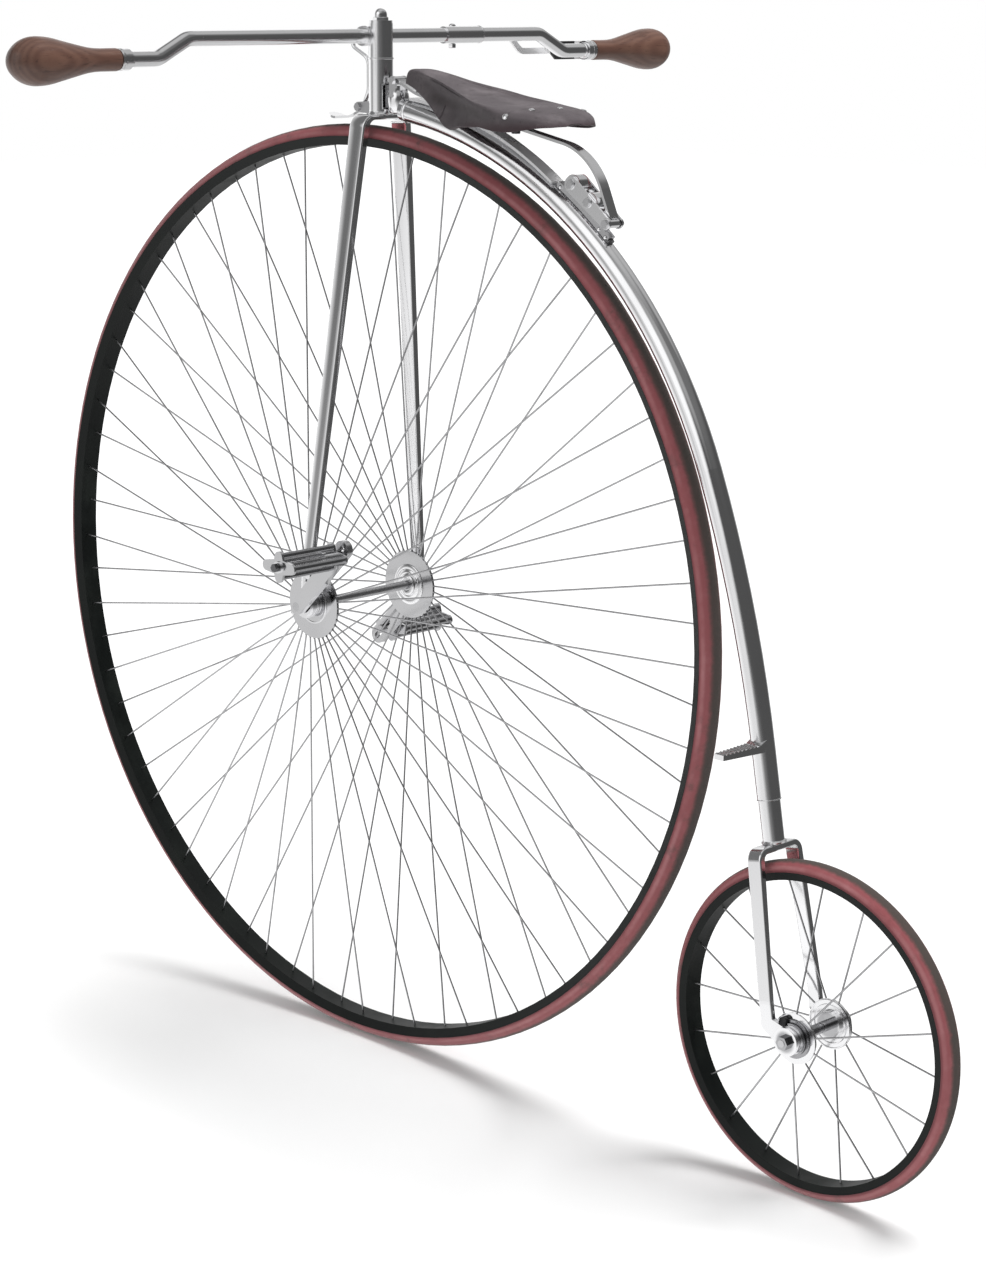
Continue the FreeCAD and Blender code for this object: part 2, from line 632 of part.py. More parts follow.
def bearing_housing(side):
    """Flanged bush in the fork's eye that carries the front axle."""
    inner = FLANGE_MID + FLANGE_THICK / 2 + FLANGE_BOSS_THICK + SEAT_GAP
    outer = CRANK_IN - 2.0
    low, high = sorted((side * inner, side * outer))
    return ring(HOUSING_DIA / 2, AXLE_DIA / 2 + SHAFT_CLEAR, low, high, FRONT_HUB)


def steering_head():
    """Hollow column on the crown, open at the back for the neck's web."""
    column = Part.makeCylinder(HEAD_DIA / 2, HEAD_TALL, V(HEAD_X, 0, CROWN_TOP))
    bore_tall = HEAD_TALL - 2 * HEAD_END_WALL
    bore = Part.makeCylinder(HEAD_BORE / 2, bore_tall, V(HEAD_X, 0, CROWN_TOP + HEAD_END_WALL))
    pins = Part.makeCylinder(SPINDLE_PIN_DIA / 2 + SHAFT_CLEAR, HEAD_TALL, V(HEAD_X, 0, CROWN_TOP))
    column = column.cut(bore).cut(pins)
    web_half = math.degrees(math.asin(NECK_WEB / HEAD_BORE))
    opening_half = STEER_LIMIT + web_half + 5.0
    base = NECK_BASE + 2.0 - 1.5
    opening = Part.makeCylinder(HEAD_DIA, NECK_WEB_TALL + 1.5, V(HEAD_X, 0, base), Z, 2 * opening_half)
    opening.rotate(V(HEAD_X, 0, 0), Z, 180 - opening_half)
    top = base + NECK_WEB_TALL + 1.5
    slit = prism([V(HEAD_X, -SLIT_WIDTH / 2, top - 1), V(HEAD_X, SLIT_WIDTH / 2, top - 1),
                  V(HEAD_X, 0.3, top + SLIT_TALL), V(HEAD_X, -0.3, top + SLIT_TALL)], X * -HEAD_DIA)
    return column.cut(opening).cut(slit)


def handlebar_lug():
    """Top block of the head with the cross collar that grips the bar."""
    block = Part.makeCylinder(HEAD_DIA / 2, LUG_TALL, V(HEAD_X, 0, HEAD_TOP))
    collar = cross_bar(BAR_COLLAR_DIA / 2, BAR_X, BAR_Z, -BAR_COLLAR_HALF, BAR_COLLAR_HALF)
    return block.fuse(collar).cut(cross_bar(BAR_DIA / 2 + FIT_CLEAR, BAR_X, BAR_Z, -60, 60))


def head_cap():
    """Round washer and acorn nut on the head."""
    washer = Part.makeCylinder(CAP_DIA / 2, CAP_THICK, V(HEAD_X, 0, LUG_TOP))
    radius = ACORN_DIA / 2
    nut = Part.makeCylinder(radius, ACORN_TALL - radius + 1.5, V(HEAD_X, 0, LUG_TOP + CAP_THICK))
    dome = Part.makeSphere(radius, V(HEAD_X, 0, LUG_TOP + CAP_THICK + ACORN_TALL - radius + 1.5))
    below = box(HEAD_X - 20, HEAD_X + 20, -20, 20, LUG_TOP - 20, LUG_TOP)
    return washer.fuse(nut).fuse(dome).cut(below).removeSplitter()


def fork_body():
    save("front_fork", front_fork())
    save("axle_bearings", bearing_housing(1), bearing_housing(-1))
    save("steering_head", steering_head())
    save("handlebar_lug", handlebar_lug())
    save("head_cap_nut", head_cap())


# ---------------------------------------------------------------- handlebar and grips

def handlebar():
    """Tube with a straight middle and dropped, level ends."""
    points = [V(BAR_X, -BAR_HALF, BAR_LOW_Z), V(BAR_X, -BAR_LOW_HALF, BAR_LOW_Z),
              V(BAR_X, -BAR_STRAIGHT_HALF, BAR_Z), V(BAR_X, BAR_STRAIGHT_HALF, BAR_Z),
              V(BAR_X, BAR_LOW_HALF, BAR_LOW_Z), V(BAR_X, BAR_HALF, BAR_LOW_Z)]
    path = rounded_path(points, (BAR_BEND,) * 4)
    return sweep(path, disc_wire(BAR_DIA / 2, points[0], Y))


def grip(side):
    """Turned pear-shaped wooden grip."""
    neck = GRIP_NECK_DIA / 2
    belly = GRIP_BELLY_DIA / 2
    # corners of the half outline as (along, radius), and the radius that rounds each inner one
    corners = ((0, 0), (0, neck), (GRIP_NECK_LONG, neck), (GRIP_SWELL_LONG, belly),
               (GRIP_LONG - GRIP_TIP_SLANT, belly), (GRIP_LONG, belly - GRIP_TIP_SLANT), (GRIP_LONG, 0))
    rounds = (3.0, 110.0, 90.0, 36.0, 19.0)
    start = side * BAR_HALF
    points = [V(BAR_X, start + side * along, BAR_LOW_Z + radius) for along, radius in corners]
    outline = rounded_path(points, rounds)
    wire = Part.Wire(outline.Edges + [Part.makeLine(points[-1], points[0])])
    return Part.Face(wire).revolve(points[0], Y, 360)


def grips():
    save("handlebar", handlebar())
    save("grips", grip(1), grip(-1))
    ferrules = []
    for _, side in SIDES:
        low, high = sorted((side * (BAR_HALF - FERRULE_LONG), side * BAR_HALF))
        ferrules.append(ring(FERRULE_DIA / 2, BAR_DIA / 2 + FIT_CLEAR, low, high, V(BAR_X, 0, BAR_LOW_Z)))
    save("grip_ferrules", *ferrules)


# ---------------------------------------------------------------- brake

def brake():
    lever_x = BAR_X + LEVER_AHEAD
    save("brake_bracket", brake_bracket(lever_x))
    save("brake_lever", brake_lever(lever_x))
    save("brake_pivot", brake_pivot())
    save("brake_spoon", brake_spoon())


def brake_bracket(lever_x):
    """Sleeve on the bar with a fork and an upright bolt for the lever."""
    y = LEVER_PIVOT_Y
    sleeve = ring(BRAKE_SLEEVE_DIA / 2, BAR_DIA / 2 + FIT_CLEAR, y - BRAKE_SLEEVE_HALF, y + BRAKE_SLEEVE_HALF,
                  V(BAR_X, 0, BAR_Z))
    gap = LEVER_TALL / 2 + SEAT_GAP
    ears = box(BAR_X, lever_x, y - 6, y + 6, BAR_Z - gap - 2.5, BAR_Z + gap + 2.5)
    ears = ears.fuse(Part.makeCylinder(6, 2 * gap + 5, V(lever_x, y, BAR_Z - gap - 2.5)))
    ears = ears.cut(box(BAR_X + BRAKE_SLEEVE_DIA / 2, lever_x + 20, y - 20, y + 20, BAR_Z - gap, BAR_Z + gap))
    ears = ears.cut(cross_bar(BRAKE_SLEEVE_DIA / 2 - 0.5, BAR_X, BAR_Z, y - 20, y + 20))
    bolt = Part.makeCylinder(BRAKE_BOLT_DIA / 2, 2 * gap + 11, V(lever_x, y, BAR_Z - gap - 6.5))
    head = Part.makeCylinder(4.6, 3, V(lever_x, y, BAR_Z + gap + 2.5))
    nut = Part.makeCylinder(4.6, 3.5, V(lever_x, y, BAR_Z - gap - 6))
    return sleeve.fuse([ears, bolt, head, nut]).removeSplitter()


def brake_lever(x):
    """Flat lever ahead of the bar: inner end over the brake rod, outer end a wide finger blade."""
    points = [V(BAR_X + LEVER_END_AHEAD, LEVER_END_Y, BAR_Z), V(x, LEVER_PIVOT_Y, BAR_Z),
              V(x, -LEVER_DROP_FROM, BAR_Z), V(x, -LEVER_DROP_TO, BAR_LOW_Z), V(x, -BLADE_TO, BAR_LOW_Z)]
    inner = prism(plan_strip(points[:2], LEVER_THICK, BAR_Z - LEVER_TALL / 2), Z * LEVER_TALL)
    path = rounded_path(points[1:], (LEVER_BEND, LEVER_BEND))
    outer = sweep(path, strip_wire(points[1], Z, X, LEVER_TALL, LEVER_THICK))
    half = BLADE_TALL / 2
    shape = ((BLADE_FROM - 8, 0), (BLADE_FROM + 4, half), (BLADE_TO - 5, half), (BLADE_TO, half - 5),
             (BLADE_TO, 5 - half), (BLADE_TO - 5, -half), (BLADE_FROM + 4, -half))
    blade = prism([V(x - LEVER_THICK / 2, -out, BAR_LOW_Z + up) for out, up in shape], X * LEVER_THICK)
    eye = Part.makeCylinder(BRAKE_BOLT_DIA / 2 + 2, LEVER_TALL, points[1] - Z * (LEVER_TALL / 2))
    hole = Part.makeCylinder(BRAKE_BOLT_DIA / 2 + SHAFT_CLEAR, 30, points[1] - Z * 15)
    return inner.fuse([outer, blade, eye]).cut(hole).removeSplitter()


def plan_strip(ends, width, z):
    """Corners of a level strip of the given width between two points."""
    start, end = (V(point.x, point.y, z) for point in ends)
    across = (end - start).cross(Z).normalize() * (width / 2)
    return [start + across, end + across, end - across, start - across]


def brake_places():
    """Pivot of the spoon brake, ahead of the crown."""
    return V(HEAD_X + SPOON_PIVOT_AHEAD, 0, CROWN_TOP + 7.0)


def brake_pivot():
    """Two ears on the head's foot with the pin of the spoon brake."""
    pivot = brake_places()
    ears = []
    for _, side in SIDES:
        low, high = sorted((side * 5.5, side * 8.0))
        ears.append(link_plate(V(HEAD_X + 6, 0, pivot.z), pivot, 7.0, 5.5, low, high))
    pin = cross_bar(3, pivot.x, pivot.z, -10, 10)
    body = ears[0].fuse([ears[1], pin, hexagon(8, 8, 10.5, pivot), hexagon(8, -10.5, -8, pivot)])
    column = Part.makeCylinder(HEAD_DIA / 2, HEAD_TALL, V(HEAD_X, 0, CROWN_TOP - 5))
    return body.cut(column).removeSplitter()


def brake_spoon():
    """Rod from the lever down to the pivot, and the curled spoon over the tyre."""
    pivot = brake_places()
    top = V(BAR_X + LEVER_END_AHEAD, 0, BAR_Z - LEVER_TALL / 2 - SEAT_GAP)
    rod_x = HEAD_X + HEAD_DIA / 2 + ROD_AHEAD
    rod_points = [top, top - Z * 8, V(rod_x, 0, top.z - 21), V(rod_x, 0, pivot.z + 18), pivot]
    rod = sweep(rounded_path(rod_points, (8.0, 12.0, 20.0)), disc_wire(BRAKE_ROD_DIA / 2, rod_points[0], Z))
    barrel = cross_bar(5.5, pivot.x, pivot.z, -5.5 + SEAT_GAP, 5.5 - SEAT_GAP)
    base = CROWN_BASE + SPOON_THICK / 2 - 0.5
    tip = pivot.x + SPOON_REACH
    spoon_points = [V(pivot.x - 2, 0, pivot.z - 3), V(pivot.x + 16, 0, base + 0.5),
                    V(tip - 13, 0, base - 1.0), V(tip, 0, base + 3.0)]
    lean = (spoon_points[1] - spoon_points[0]).cross(Y).normalize()
    spoon = sweep(rounded_path(spoon_points, (20.0, 24.0)),
                  strip_wire(spoon_points[0], Y, lean, SPOON_WIDTH, SPOON_THICK))
    spoon = spoon.common(spoon_plan(pivot.x, tip))
    ears = box(pivot.x - 12, pivot.x + 7, 5, 20, pivot.z - 12, pivot.z + 12)
    ears = ears.fuse(box(pivot.x - 12, pivot.x + 7, -20, -5, pivot.z - 12, pivot.z + 12))
    spoon = spoon.cut(ears)
    hole = cross_bar(3 + SHAFT_CLEAR, pivot.x, pivot.z, -30, 30)
    return rod.fuse([barrel, spoon]).cut(hole).removeSplitter()


def spoon_plan(pivot_x, tip):
    """Upright block with the spoon's outline seen from above: slim at the pivot, round at the tip."""
    half = SPOON_WIDTH / 2
    low = CROWN_BASE - 20
    left = [V(pivot_x - 6, SPOON_ROOT_WIDTH / 2, low), V(pivot_x + 10, SPOON_ROOT_WIDTH / 2, low),
            V(tip - 1.6 * half, half, low), V(tip - half, half, low)]
    right = [V(point.x, -point.y, low) for point in reversed(left)]
    edges = [Part.makeLine(a, b) for points in (left, right) for a, b in zip(points, points[1:])]
    edges.append(Part.Arc(left[-1], V(tip, 0, low), right[0]).toShape())
    edges.append(Part.makeLine(right[-1], left[0]))
    return Part.Face(Part.Wire(Part.__sortEdges__(edges))).extrude(Z * 80)


# ---------------------------------------------------------------- backbone, neck and rear fork

def upper_path():
    """Middle line of the backbone down to the end of its easier bend."""
    start_angle = 180 - math.degrees(math.acos((-NECK_X + NECK_DIA / 2) / BACKBONE_RADIUS))
    start = on_wheel(start_angle, BACKBONE_RADIUS)
    knee = on_wheel(BACKBONE_FOLLOW, BACKBONE_RADIUS)
    follow = Part.Arc(start, on_wheel((start_angle + BACKBONE_FOLLOW) / 2, BACKBONE_RADIUS), knee).toShape()
    # the easier bend shares its tangent with the first arc, so its centre lies on the same radius
    centre = on_wheel(BACKBONE_FOLLOW, BACKBONE_RADIUS - BACKBONE_EASE)
    ease = []
    ease_end = 180 - TAIL_RAKE
    for angle in ((BACKBONE_FOLLOW + ease_end) / 2, ease_end):
        turn = math.radians(angle)
        ease.append(centre + V(math.cos(turn), 0, math.sin(turn)) * BACKBONE_EASE)
    return [follow, Part.Arc(knee, *ease).toShape()], start_angle, ease[1]


def tail_places(bend_end):
    """Rear hub, and how far down the tail's straight line from the bend the crown's top and the knee are.

    The knee stands above and ahead of the hub, and the crown clears the rear tyre.
    """
    knee_down = (bend_end.z - REAR_RADIUS - KNEE_RISE) / math.cos(math.radians(TAIL_RAKE))
    hub = bend_end + TAIL_DOWN * knee_down + V(-REAR_TRAIL, 0, -KNEE_RISE)
    from_hub = bend_end - hub
    along = from_hub.dot(TAIL_DOWN)
    reach = REAR_RADIUS + REAR_CROWN_GAP
    crown_under = -along - math.sqrt(along * along - from_hub.dot(from_hub) + reach * reach)
    return hub, crown_under - REAR_CROWN_THICK, knee_down


UPPER_EDGES, START_ANGLE, BEND_END = upper_path()
REAR_HUB, CROWN_DOWN, KNEE_DOWN = tail_places(BEND_END)
TAIL_START = BEND_END + TAIL_DOWN * (CROWN_DOWN - TAIL_SOCKET)
REAR_CROWN = BEND_END + TAIL_DOWN * CROWN_DOWN


def backbone():
    """Curved tube from the neck, with a thinner tail that stands on the rear crown."""
    turn = math.radians(START_ANGLE)
    tangent = V(-math.sin(turn), 0, math.cos(turn))
    path = Part.Wire(UPPER_EDGES + [Part.makeLine(BEND_END, TAIL_START)])
    tube = sweep(path, disc_wire(BACKBONE_DIA / 2, on_wheel(START_ANGLE, BACKBONE_RADIUS), tangent))
    tail = cylinder(BACKBONE_TAIL_DIA / 2, TAIL_START, REAR_CROWN)
    return tube.fuse(tail).removeSplitter()


def neck():
    """Spindle that turns in the head, its web, and the barrel and tongue that carry backbone and spring."""
    bore_base = CROWN_TOP + HEAD_END_WALL
    bore_top = HEAD_TOP - HEAD_END_WALL
    spindle_tall = bore_top - bore_base - 2 * SEAT_GAP
    spindle = Part.makeCylinder(SPINDLE_DIA / 2, spindle_tall, V(HEAD_X, 0, bore_base + SEAT_GAP))
    pin = Part.makeCylinder(SPINDLE_PIN_DIA / 2, bore_top - bore_base + 2 * SPINDLE_PIN_LONG,
                            V(HEAD_X, 0, bore_base - SPINDLE_PIN_LONG))
    web_base = NECK_BASE + 2.0
    web = box(NECK_X, HEAD_X, -NECK_WEB / 2, NECK_WEB / 2, web_base, web_base + NECK_WEB_TALL - 1.5)
    barrel = Part.makeCylinder(NECK_DIA / 2, NECK_BARREL_TALL, V(NECK_X, 0, NECK_BASE))
    tongue = link_plate(V(NECK_X, 0, NECK_BASE + 4), V(NECK_X, 0, LINK_Z), 7.5, 6.0,
                        -NECK_TONGUE / 2, NECK_TONGUE / 2)
    body = spindle.fuse([pin, web, barrel, tongue])
    body = body.cut(cross_bar(LINK_BOLT_DIA / 2 + FIT_CLEAR, NECK_X, LINK_Z, -20, 20))
    return body.cut(backbone()).removeSplitter()


def rear_fork():
    """Crown and two blades bent from one flat bar; the feet turn back to the axle."""
    drop = KNEE_DOWN - CROWN_DOWN
    face = fork_outline(REAR_CROWN_HALF, REAR_CROWN_THICK, REAR_BLADE_THICK, REAR_CROWN_ROUND, REAR_FOOT_IN,
                        REAR_FOOT_THICK, -drop, REAR_FOOT_TALL - drop, 0)
    face.translate(X * -50)
    bent = face.extrude(X * 100)
    wide = REAR_BLADE_WIDTH / 2
    foot = REAR_BLADE_FOOT_WIDTH / 2
    side_view = [V(-wide, -100, 1), V(wide, -100, 1),
                 V(foot, -100, -drop), V(-foot, -100, -drop)]
    fork = soften(bent.common(prism(side_view, Y * 200)), -drop, REAR_BLADE_ROUND)
    fork.rotate(V(0, 0, 0), Y, TAIL_RAKE)
    fork.translate(REAR_CROWN)
    knee = BEND_END + TAIL_DOWN * KNEE_DOWN
    for _, side in SIDES:
        low, high = sorted((side * REAR_FOOT_IN, side * (REAR_FOOT_IN + REAR_FOOT_THICK)))
        fork = fork.fuse(link_plate(knee, REAR_HUB, foot, REAR_FOOT_RADIUS, low, high))
    bore = cross_bar(REAR_AXLE_DIA / 2 + FIT_CLEAR, REAR_HUB.x, REAR_HUB.z, -60, 60)
    return fork.cut(bore).removeSplitter()


def rear_axle():
    """Fixed axle through both feet."""
    reach = REAR_FOOT_IN + REAR_FOOT_THICK + REAR_WASHER_THICK + REAR_NUT_THICK + 0.5
    return cross_bar(REAR_AXLE_DIA / 2, REAR_HUB.x, REAR_HUB.z, -reach, reach)


def rear_nuts():
    """Large washer and hexagon nut outside each foot."""
    nuts = []
    washer_in = REAR_FOOT_IN + REAR_FOOT_THICK
    nut_in = washer_in + REAR_WASHER_THICK
    bore = cross_bar(REAR_AXLE_DIA / 2 + FIT_CLEAR, REAR_HUB.x, REAR_HUB.z, -80, 80)
    for _, side in SIDES:
        washer = cross_bar(REAR_WASHER_DIA / 2, REAR_HUB.x, REAR_HUB.z, side * washer_in, side * nut_in)
        low, high = sorted((side * nut_in, side * (nut_in + REAR_NUT_THICK)))
        nuts.append(washer.fuse(hexagon(REAR_NUT_FLATS, low, high, REAR_HUB)).cut(bore))
    return nuts


def mounting_step():
    """Tapered flat bar that stands out to the left of the tail, for the rider's foot."""
    root = TAIL_START - TAIL_DOWN * STEP_ABOVE_TAIL
    z = root.z
    half_root = STEP_ROOT_WIDTH / 2
    half_tip = STEP_TIP_WIDTH / 2
    plan = [V(root.x - half_root, 0, z - 20), V(root.x + half_root, 0, z - 20),
            V(root.x + half_tip, STEP_REACH, z - 20), V(root.x - half_tip, STEP_REACH, z - 20)]
    z_top = z + STEP_ROOT_THICK / 2
    back_x = root.x - 40
    front = [V(back_x, 0, z_top - STEP_ROOT_THICK), V(back_x, 0, z_top + STEP_WELD_UP),
             V(back_x, BACKBONE_DIA / 2 + STEP_WELD_OUT, z_top),
             V(back_x, STEP_REACH, z_top), V(back_x, STEP_REACH, z_top - STEP_TIP_THICK)]
    bar = prism(plan, Z * 40).common(prism(front, X * 80))
    return bar.cut(backbone())


# ---------------------------------------------------------------- saddle and springs

def leather_inside():
    """Stations of the leather's inner skin, set in from the outer one by the leather's thickness."""
    stations = []
    set_in = {SADDLE_NOSE_X: -LEATHER_THICK, SADDLE_TAIL_X: LEATHER_THICK}
    for x, top_half, hem_half, top, hem in SADDLE_STATIONS:
        stations.append((x + set_in.get(x, 0), top_half - LEATHER_THICK, hem_half - LEATHER_THICK,
                         top - LEATHER_THICK, hem))
    return stations


def saddle_leather():
    """Leather top with its skirts: the outer skin less a hollow that runs on down past the hem."""
    outer = []
    for x, top_half, hem_half, top, hem in SADDLE_STATIONS:
        outer.append(saddle_section(x, (hem_half, hem), (top_half, top)))
    hollow = []
    for x, top_half, hem_half, top, hem in leather_inside():
        hollow.append(saddle_section(x, (hem_half, hem - SKIRT_PAST), (hem_half, hem), (top_half, top)))
    return Part.makeLoft(outer, True, True).cut(Part.makeLoft(hollow, True, True))


def saddle_section(x, *corners):
    """Closed cross-section, alike on both sides, from its lowest corner up, as (half width, height)."""
    right = [V(x, -half, SADDLE_NOSE_Z + height) for half, height in corners]
    left = [V(x, half, SADDLE_NOSE_Z + height) for half, height in reversed(corners)]
    points = right + left
    return Part.makePolygon(points + points[:1])


def upper_spring_path():
    """Middle line of the main spring, from the neck's link to the rear shackle, by its corners."""
    bolt = on_wheel(SHACKLE_ANGLES[2], ROLLER_TRACK)
    return [SPRING_EYE + V(-4, 0, 0), SPRING_EYE + V(-34, 0, -13.5), bolt + V(27.2, 0, 71.2), bolt + V(-1, 0, 6)]


def saddle_spring():
    """Main flat spring with a rolled eye at each end."""
    points = upper_spring_path()
    path = rounded_path(points, (60.0, SPRING_BEND))
    along = (points[1] - points[0]).normalize()
    strip = sweep(path, strip_wire(points[0], Y, along.cross(Y), SPRING_WIDTH - 3, SPRING_THICK))
    bolt = on_wheel(SHACKLE_ANGLES[2], ROLLER_TRACK)
    half = (SPRING_WIDTH - 3) / 2
    front_eye = cross_bar(LINK_BOLT_DIA / 2 + EYE_WALL, SPRING_EYE.x, SPRING_EYE.z, -half, half)
    rear_eye = cross_bar(SHACKLE_BOLT_DIA / 2 + EYE_WALL, bolt.x, bolt.z, -half, half)
    spring = strip.fuse([front_eye, rear_eye])
    spring = spring.cut(cross_bar(LINK_BOLT_DIA / 2 + FIT_CLEAR, SPRING_EYE.x, SPRING_EYE.z, -30, 30))
    return spring.cut(cross_bar(SHACKLE_BOLT_DIA / 2 + FIT_CLEAR, bolt.x, bolt.z, -30, 30)).removeSplitter()


def lower_spring():
    """Flat leaf bowed above the backbone, resting on it at both ends."""
    rest = BACKBONE_TOP + SEAT_GAP + LEAF_THICK / 2
    start, end = (on_wheel(angle, rest) for angle in LEAF_ANGLES)
    middle = on_wheel(sum(LEAF_ANGLES) / 2, rest + LEAF_RISE)
    arc = Part.Arc(start, middle, end).toShape()
    tangent = arc.tangentAt(arc.FirstParameter)
    return sweep(Part.Wire([arc]), strip_wire(start, Y, tangent.cross(Y), LEAF_WIDTH, LEAF_THICK))


def spring_link():
    """Two short links and their bolts between the neck's tongue and the spring's eye."""
    inner = (SPRING_WIDTH - 3) / 2 + SEAT_GAP
    low = V(NECK_X, 0, LINK_Z)
    link = None
    for _, side in SIDES:
        y_from, y_to = sorted((side * inner, side * (inner + LINK_THICK)))
        plate = link_plate(low, SPRING_EYE, 5.0, 5.0, y_from, y_to)
        link = plate if link is None else link.fuse(plate)
    reach = inner + LINK_THICK + 2.5
    for centre in (low, SPRING_EYE):
        link = link.fuse(cross_bar(LINK_BOLT_DIA / 2, centre.x, centre.z, -reach, reach))
        for _, side in SIDES:
            y_from, y_to = sorted((side * (inner + LINK_THICK), side * reach))
            link = link.fuse(hexagon(7.0, y_from, y_to, centre))
    return link.removeSplitter()


def shackle():
    """Side plates, rollers and bolts of the carriage at the spring's tail, and the rail it runs on."""
    first, second, last = (on_wheel(angle, ROLLER_TRACK) for angle in SHACKLE_ANGLES)
    inside = SHACKLE_INSIDE / 2
    outside = inside + SHACKLE_PLATE_THICK
    plates = []
    for _, side in SIDES:
        low, high = sorted((side * inside, side * outside))
        wide = SHACKLE_PLATE_WIDTH / 2
        plate = link_plate(first, last, wide, wide - 2.5, low, high)
        for centre in (first, second, last):
            hole = cross_bar(SHACKLE_BOLT_DIA / 2 + FIT_CLEAR, centre.x, centre.z, low - 1, high + 1)
            plate = plate.cut(hole)
        plates.append(plate)
    save("shackle_plates", *plates)
    rollers = []
    half = inside - SEAT_GAP
    for centre in (first, second):
        rollers.append(ring(ROLLER_DIA / 2, SHACKLE_BOLT_DIA / 2 + FIT_CLEAR, -half, half, centre))
    save("shackle_rollers", *rollers)
    bolts = []
    for centre in (first, second, last):
        bolt = cross_bar(SHACKLE_BOLT_DIA / 2, centre.x, centre.z, -outside - 3, outside + 3)
        for _, side in SIDES:
            low, high = sorted((side * outside, side * (outside + 3)))
            bolt = bolt.fuse(hexagon(8.0, low, high, centre))
        bolts.append(bolt)
    save("shackle_bolts", *bolts)
    save("spring_rail", rail())


def rail():
    """Curved bar on the backbone's top under the rollers."""
    middle = (RAIL_BASE + RAIL_TOP) / 2
    start, mid, end = (on_wheel(angle, middle) for angle in
                       (RAIL_ANGLES[0], sum(RAIL_ANGLES) / 2, RAIL_ANGLES[1]))
    arc = Part.Arc(start, mid, end).toShape()
    tangent = arc.tangentAt(arc.FirstParameter)
    return sweep(Part.Wire([arc]), strip_wire(start, Y, tangent.cross(Y), RAIL_WIDTH, RAIL_TALL))


def leather_under(x):
    """Height of the leather's underside along the saddle's middle."""
    inside = leather_inside()
    for before, after in zip(inside, inside[1:]):
        if after[0] <= x <= before[0]:
            share = (x - before[0]) / (after[0] - before[0])
            return SADDLE_NOSE_Z + before[3] + share * (after[3] - before[3])
    return SADDLE_NOSE_Z - LEATHER_THICK


def on_spring(x):
    """Middle of the saddle strip where it lies on the main spring."""
    return V(x, 0, spring_height(x) + SPRING_THICK / 2 + SEAT_GAP + FRAME_THICK / 2)


def saddle_frame():
    """Strip bolted on the spring that carries the leather's nose, and the wide plate under its back."""
    nose_x = SADDLE_NOSE_X - LEATHER_THICK - SEAT_GAP
    nose_z = leather_under(nose_x) - SEAT_GAP - FRAME_THICK / 2
    cantle = (SADDLE_TAIL_X + CANTLE_FROM, SADDLE_TAIL_X + CANTLE_TO)
    tail_x = sum(cantle) / 2
    points = [V(nose_x, 0, nose_z), V(nose_x - 40, 0, nose_z), on_spring(SADDLE_BOLT_X + CLAMP_HALF),
              on_spring(SADDLE_BOLT_X - CLAMP_HALF), V(tail_x, 0, leather_under(tail_x) - 2 * FRAME_THICK)]
    path = rounded_path(points, (60.0, 30.0, 30.0))
    strip = sweep(path, strip_wire(points[0], Y, Z, FRAME_WIDTH, FRAME_THICK))
    side_view = []
    for x, drop in ((cantle[0], 0), (cantle[1], 0), (cantle[1], FRAME_THICK), (cantle[0], FRAME_THICK)):
        side_view.append(V(x, -CANTLE_HALF, leather_under(x) - SEAT_GAP - drop))
    plate = prism(side_view, Y * (2 * CANTLE_HALF))
    bolt = Part.makeCylinder(4.0, 3.0, on_spring(SADDLE_BOLT_X))
    return strip.fuse([plate, bolt]).removeSplitter()


def spring_height(x):
    """Height of the main spring's middle line on its straight run under the saddle."""
    points = upper_spring_path()
    share = (x - points[1].x) / (points[2].x - points[1].x)
    return points[1].z + share * (points[2].z - points[1].z)


def saddle():
    save("saddle_leather", saddle_leather())
    save("saddle_frame", saddle_frame())
    save("saddle_spring_upper", saddle_spring())
    save("saddle_spring_lower", lower_spring())
    save("spring_nose_link", spring_link())
    shackle()


def frame_body():
    save("backbone", backbone())
    save("neck", neck())
    save("rear_fork", rear_fork())
    save("rear_axle", rear_axle())
    save("rear_axle_nuts", *rear_nuts())
    save("mounting_step", mounting_step())
    saddle()


def main():
    os.makedirs("parts", exist_ok=True)
    frame_body()
    fork_body()
    grips()
    brake()
    front_wheel()
    cranks()
    pedals()
    rear_wheel()


main()
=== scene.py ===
"""High-wheel bicycle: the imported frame, its trim and saddle cover, every finish, the studio and the camera.

Lengths are in metres in the row's frame: X forward, Y to the rider's left, Z up, origin on the saddle. What
goes through mm() is in millimetres.
"""
import json
import logging
import math
from dataclasses import dataclass, replace
from enum import Enum
from typing import Callable, Iterable, Optional, Sequence, Union

import bmesh
import bpy
import numpy as np
from mathutils import Matrix, Vector


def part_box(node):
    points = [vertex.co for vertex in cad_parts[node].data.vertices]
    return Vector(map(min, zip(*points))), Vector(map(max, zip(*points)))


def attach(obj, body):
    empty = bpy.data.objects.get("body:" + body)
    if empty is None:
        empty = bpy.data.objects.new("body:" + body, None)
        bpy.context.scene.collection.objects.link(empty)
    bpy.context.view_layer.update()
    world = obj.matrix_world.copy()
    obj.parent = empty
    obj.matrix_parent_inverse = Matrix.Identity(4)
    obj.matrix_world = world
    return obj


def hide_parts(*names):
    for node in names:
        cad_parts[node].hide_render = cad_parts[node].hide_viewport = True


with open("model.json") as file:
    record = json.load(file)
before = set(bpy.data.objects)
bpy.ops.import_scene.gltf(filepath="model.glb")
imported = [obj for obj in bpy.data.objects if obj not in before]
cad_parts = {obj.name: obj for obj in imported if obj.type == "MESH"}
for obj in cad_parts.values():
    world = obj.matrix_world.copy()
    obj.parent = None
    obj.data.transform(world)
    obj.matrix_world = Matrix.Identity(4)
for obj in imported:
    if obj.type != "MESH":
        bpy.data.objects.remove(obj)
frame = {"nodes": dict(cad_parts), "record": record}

LOG = logging.getLogger("bicycle")
Operand = Union["Wire", int, float]
